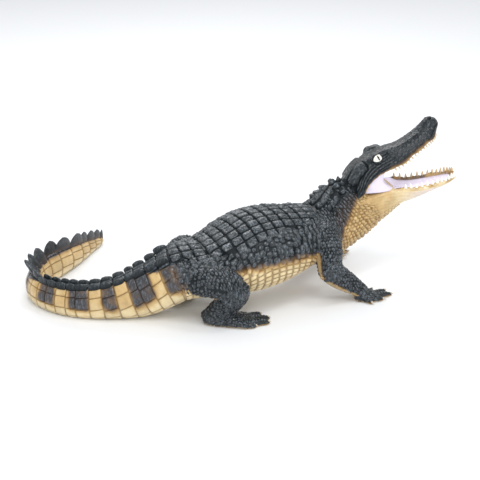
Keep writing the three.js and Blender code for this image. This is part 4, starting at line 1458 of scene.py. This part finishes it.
def add_claws():
    """A short curved claw on every toe."""
    shapes = []
    around, levels, end = 10, 7, 3.55
    angle = np.arange(around) * 2 * math.pi / around
    for loft in limbs:
        if "toe" not in loft.name:
            continue
        along = unit(loft.axes(np.array([end]))[0][0] * (1, 1, 0))
        across = np.cross(UP, along)
        root = loft.row(end)[:3] - along * 0.4 + UP * 0.7
        rings = []
        for i in range(levels + 1):
            t = i / levels
            size = 1.15 * max((1 - t) ** 0.7, 0.07)
            middle = root + along * 3.0 * t + UP * (0.55 * math.sin(t * 2.4) - 1.15 * t * t)
            ring = np.cos(angle)[:, None] * across * size * 0.8 + np.sin(angle)[:, None] * UP * size
            rings.append(middle + ring)
        points = np.vstack(rings)
        points[:, 2] = np.maximum(points[:, 2], 0.08)
        shapes.append((points - ORIGIN, ring_faces(levels, around)))
    show(mesh_object("claws", *gathered(shapes)), CLAW, "cream_paint")


skin = make_skin()
points = positions(skin)
owner, place = owners(points)
normal = normals(skin)
on_head, on_jaw = (owner == lofts.index(loft) for loft in (head, jaw))
cells = cell_relief(points, 3.2, 11)
relief = np.full(len(points), 0.26)
relief[on_head] = 0.38 + 0.22 * cells[on_head]
relief[on_jaw] = 0.88
lilac = np.zeros(len(points))
points += normal * (0.2 * (cells - 0.5) * on_head)[:, None]
shape_body(points, normal, relief)
shape_head(points, normal, relief, lilac)
shape_jaw(points, normal, relief, lilac)
points[:, 2] = np.maximum(points[:, 2], 0.0)
skin.data.vertices.foreach_set("co", (points * MM).astype(np.float32).ravel())
skin.data.update()
dark = np.zeros(len(points))
for index in np.unique(owner):
    pick = owner == index
    dark[pick] = paint_of(lofts[index], place[pick, 0], place[pick, 1], points[pick], normal[pick])
feet = [i for i, loft in enumerate(lofts) if "toe" in loft.name or "foot" in loft.name]
relief[np.isin(owner, feet)] = 0.45

PAINT = paint_material()
EYE = eye_material()
TOOTH = plain_paint("tooth_paint", (0.84, 0.80, 0.70, 1), (0.92, 0.90, 0.84, 1), 400.0, 0.25)
STAINED = plain_paint("stained_tooth_paint", (0.50, 0.33, 0.14, 1), (0.72, 0.58, 0.36, 1), 400.0, 0.25)
MOUTH = plain_paint("mouth_lilac", (0.68, 0.62, 0.76, 1), (0.78, 0.73, 0.86, 1), 120.0, 0.28)
CLAW = plain_paint("claw_paint", (0.42, 0.36, 0.28, 1), (0.66, 0.58, 0.46, 1), 500.0, 0.3)

add_colours(skin, np.column_stack([dark, relief, lattice_noise(points, 5.0, 12)]), lilac)
unwrap_skin(skin, owner, place)
SKIN_TREE = BVHTree.FromObject(skin, bpy.context.evaluated_depsgraph_get())
corners, first = corners_of(skin)
FACE_NORMALS = unit(np.add.reduceat(normals(skin)[corners], first, axis=0))
FACE_DARK = dark[corners[first]]

add_back()
add_flanks()
add_neck()
add_belly()
add_tail()
add_crests()
add_limbs()
add_eyes()
add_teeth("upper_teeth", head, 36, 79.5, 20, 1.0, 0.8)
add_teeth("lower_teeth", jaw, 40, 88.5, 15, 1.2, 2.4)
mouth_sheet("palate_lining", head, 33, 78.5, "palate")
mouth_sheet("mouth_floor_lining", jaw, 33, 86.5, "mouth_floor")
add_throat()
add_claws()

# Camera, light and floor
PHOTO_AZIMUTH, PHOTO_ELEVATION = -27.0, 24.0
CAMERA_DISTANCE = 1000.0
CAMERA_TARGET = (-9.4, -34.0, 0.0)
TARGET_RISE = 40.0
LENS = 93.75
SENSOR = 36.0
BACKDROP_SIZE = 6000.0
WORLD_STRENGTH = 0.76
LIGHT_AIM = (0, 0, 40)

# Each lamp: name, place, size and watts
LAMPS = [
    ("key", (-250, -450, 850), (600, 450), 3.1),
    ("back", (200, 600, 700), (700, 300), 3.1),
    ("front", (450, -750, 380), (160, 140), 1.2),
    ("spark", (-380, -700, 520), (130, 100), 1.0),
    ("rim", (300, -350, 900), (130, 100), 1.0),
]


def linked(name, data):
    made = bpy.data.objects.new(name, data)
    bpy.context.scene.collection.objects.link(made)
    return made


def add_camera():
    az, el = math.radians(PHOTO_AZIMUTH), math.radians(PHOTO_ELEVATION)
    back = Vector((math.sin(az) * math.cos(el), -math.cos(az) * math.cos(el), math.sin(el)))
    right = Vector((math.cos(az), math.sin(az), 0))
    up = back.cross(right)
    data = bpy.data.cameras.new("camera")
    data.lens = LENS
    data.sensor_width = SENSOR
    made = linked("camera", data)
    spot = Vector(CAMERA_TARGET) + TARGET_RISE * up + CAMERA_DISTANCE * back
    turn = Matrix((right, up, back)).transposed().to_4x4()
    made.matrix_world = Matrix.Translation(spot * MM) @ turn
    bpy.context.scene.camera = made


def add_stage():
    """White world, plain pale floor and soft lamps."""
    world = bpy.data.worlds.new("studio")
    bpy.context.scene.world = world
    world.use_nodes = True
    world.node_tree.nodes["Background"].inputs["Color"].default_value = (1, 1, 1, 1)
    world.node_tree.nodes["Background"].inputs["Strength"].default_value = WORLD_STRENGTH
    square = [(-1, -1, 0), (1, -1, 0), (1, 1, 0), (-1, 1, 0)]
    floor = mesh_object("floor", np.array(square) * BACKDROP_SIZE, [(0, 1, 2, 3)])
    white = plain_paint("floor_white", (0.84, 0.86, 0.885, 1), (0.86, 0.88, 0.905, 1), 3.0, 0.6)
    floor.data.materials.append(white)
    for name, spot, size, watts in LAMPS:
        data = bpy.data.lights.new(name, "AREA")
        data.shape = "RECTANGLE"
        data.size, data.size_y = (side * MM for side in size)
        data.energy = watts
        lamp = linked(name, data)
        lamp.location = Vector(spot) * MM
        lamp.rotation_euler = (Vector(LIGHT_AIM) - Vector(spot)).to_track_quat("-Z", "Y").to_euler()


add_camera()
add_stage()
bpy.context.scene.view_settings.view_transform = "Standard"

mouth_nodes = ("palate", "mouth_floor", "throat_wall")
covered = [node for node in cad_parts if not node.endswith("_eye") and node not in mouth_nodes]
show(skin, PAINT, "dark_paint", *covered)
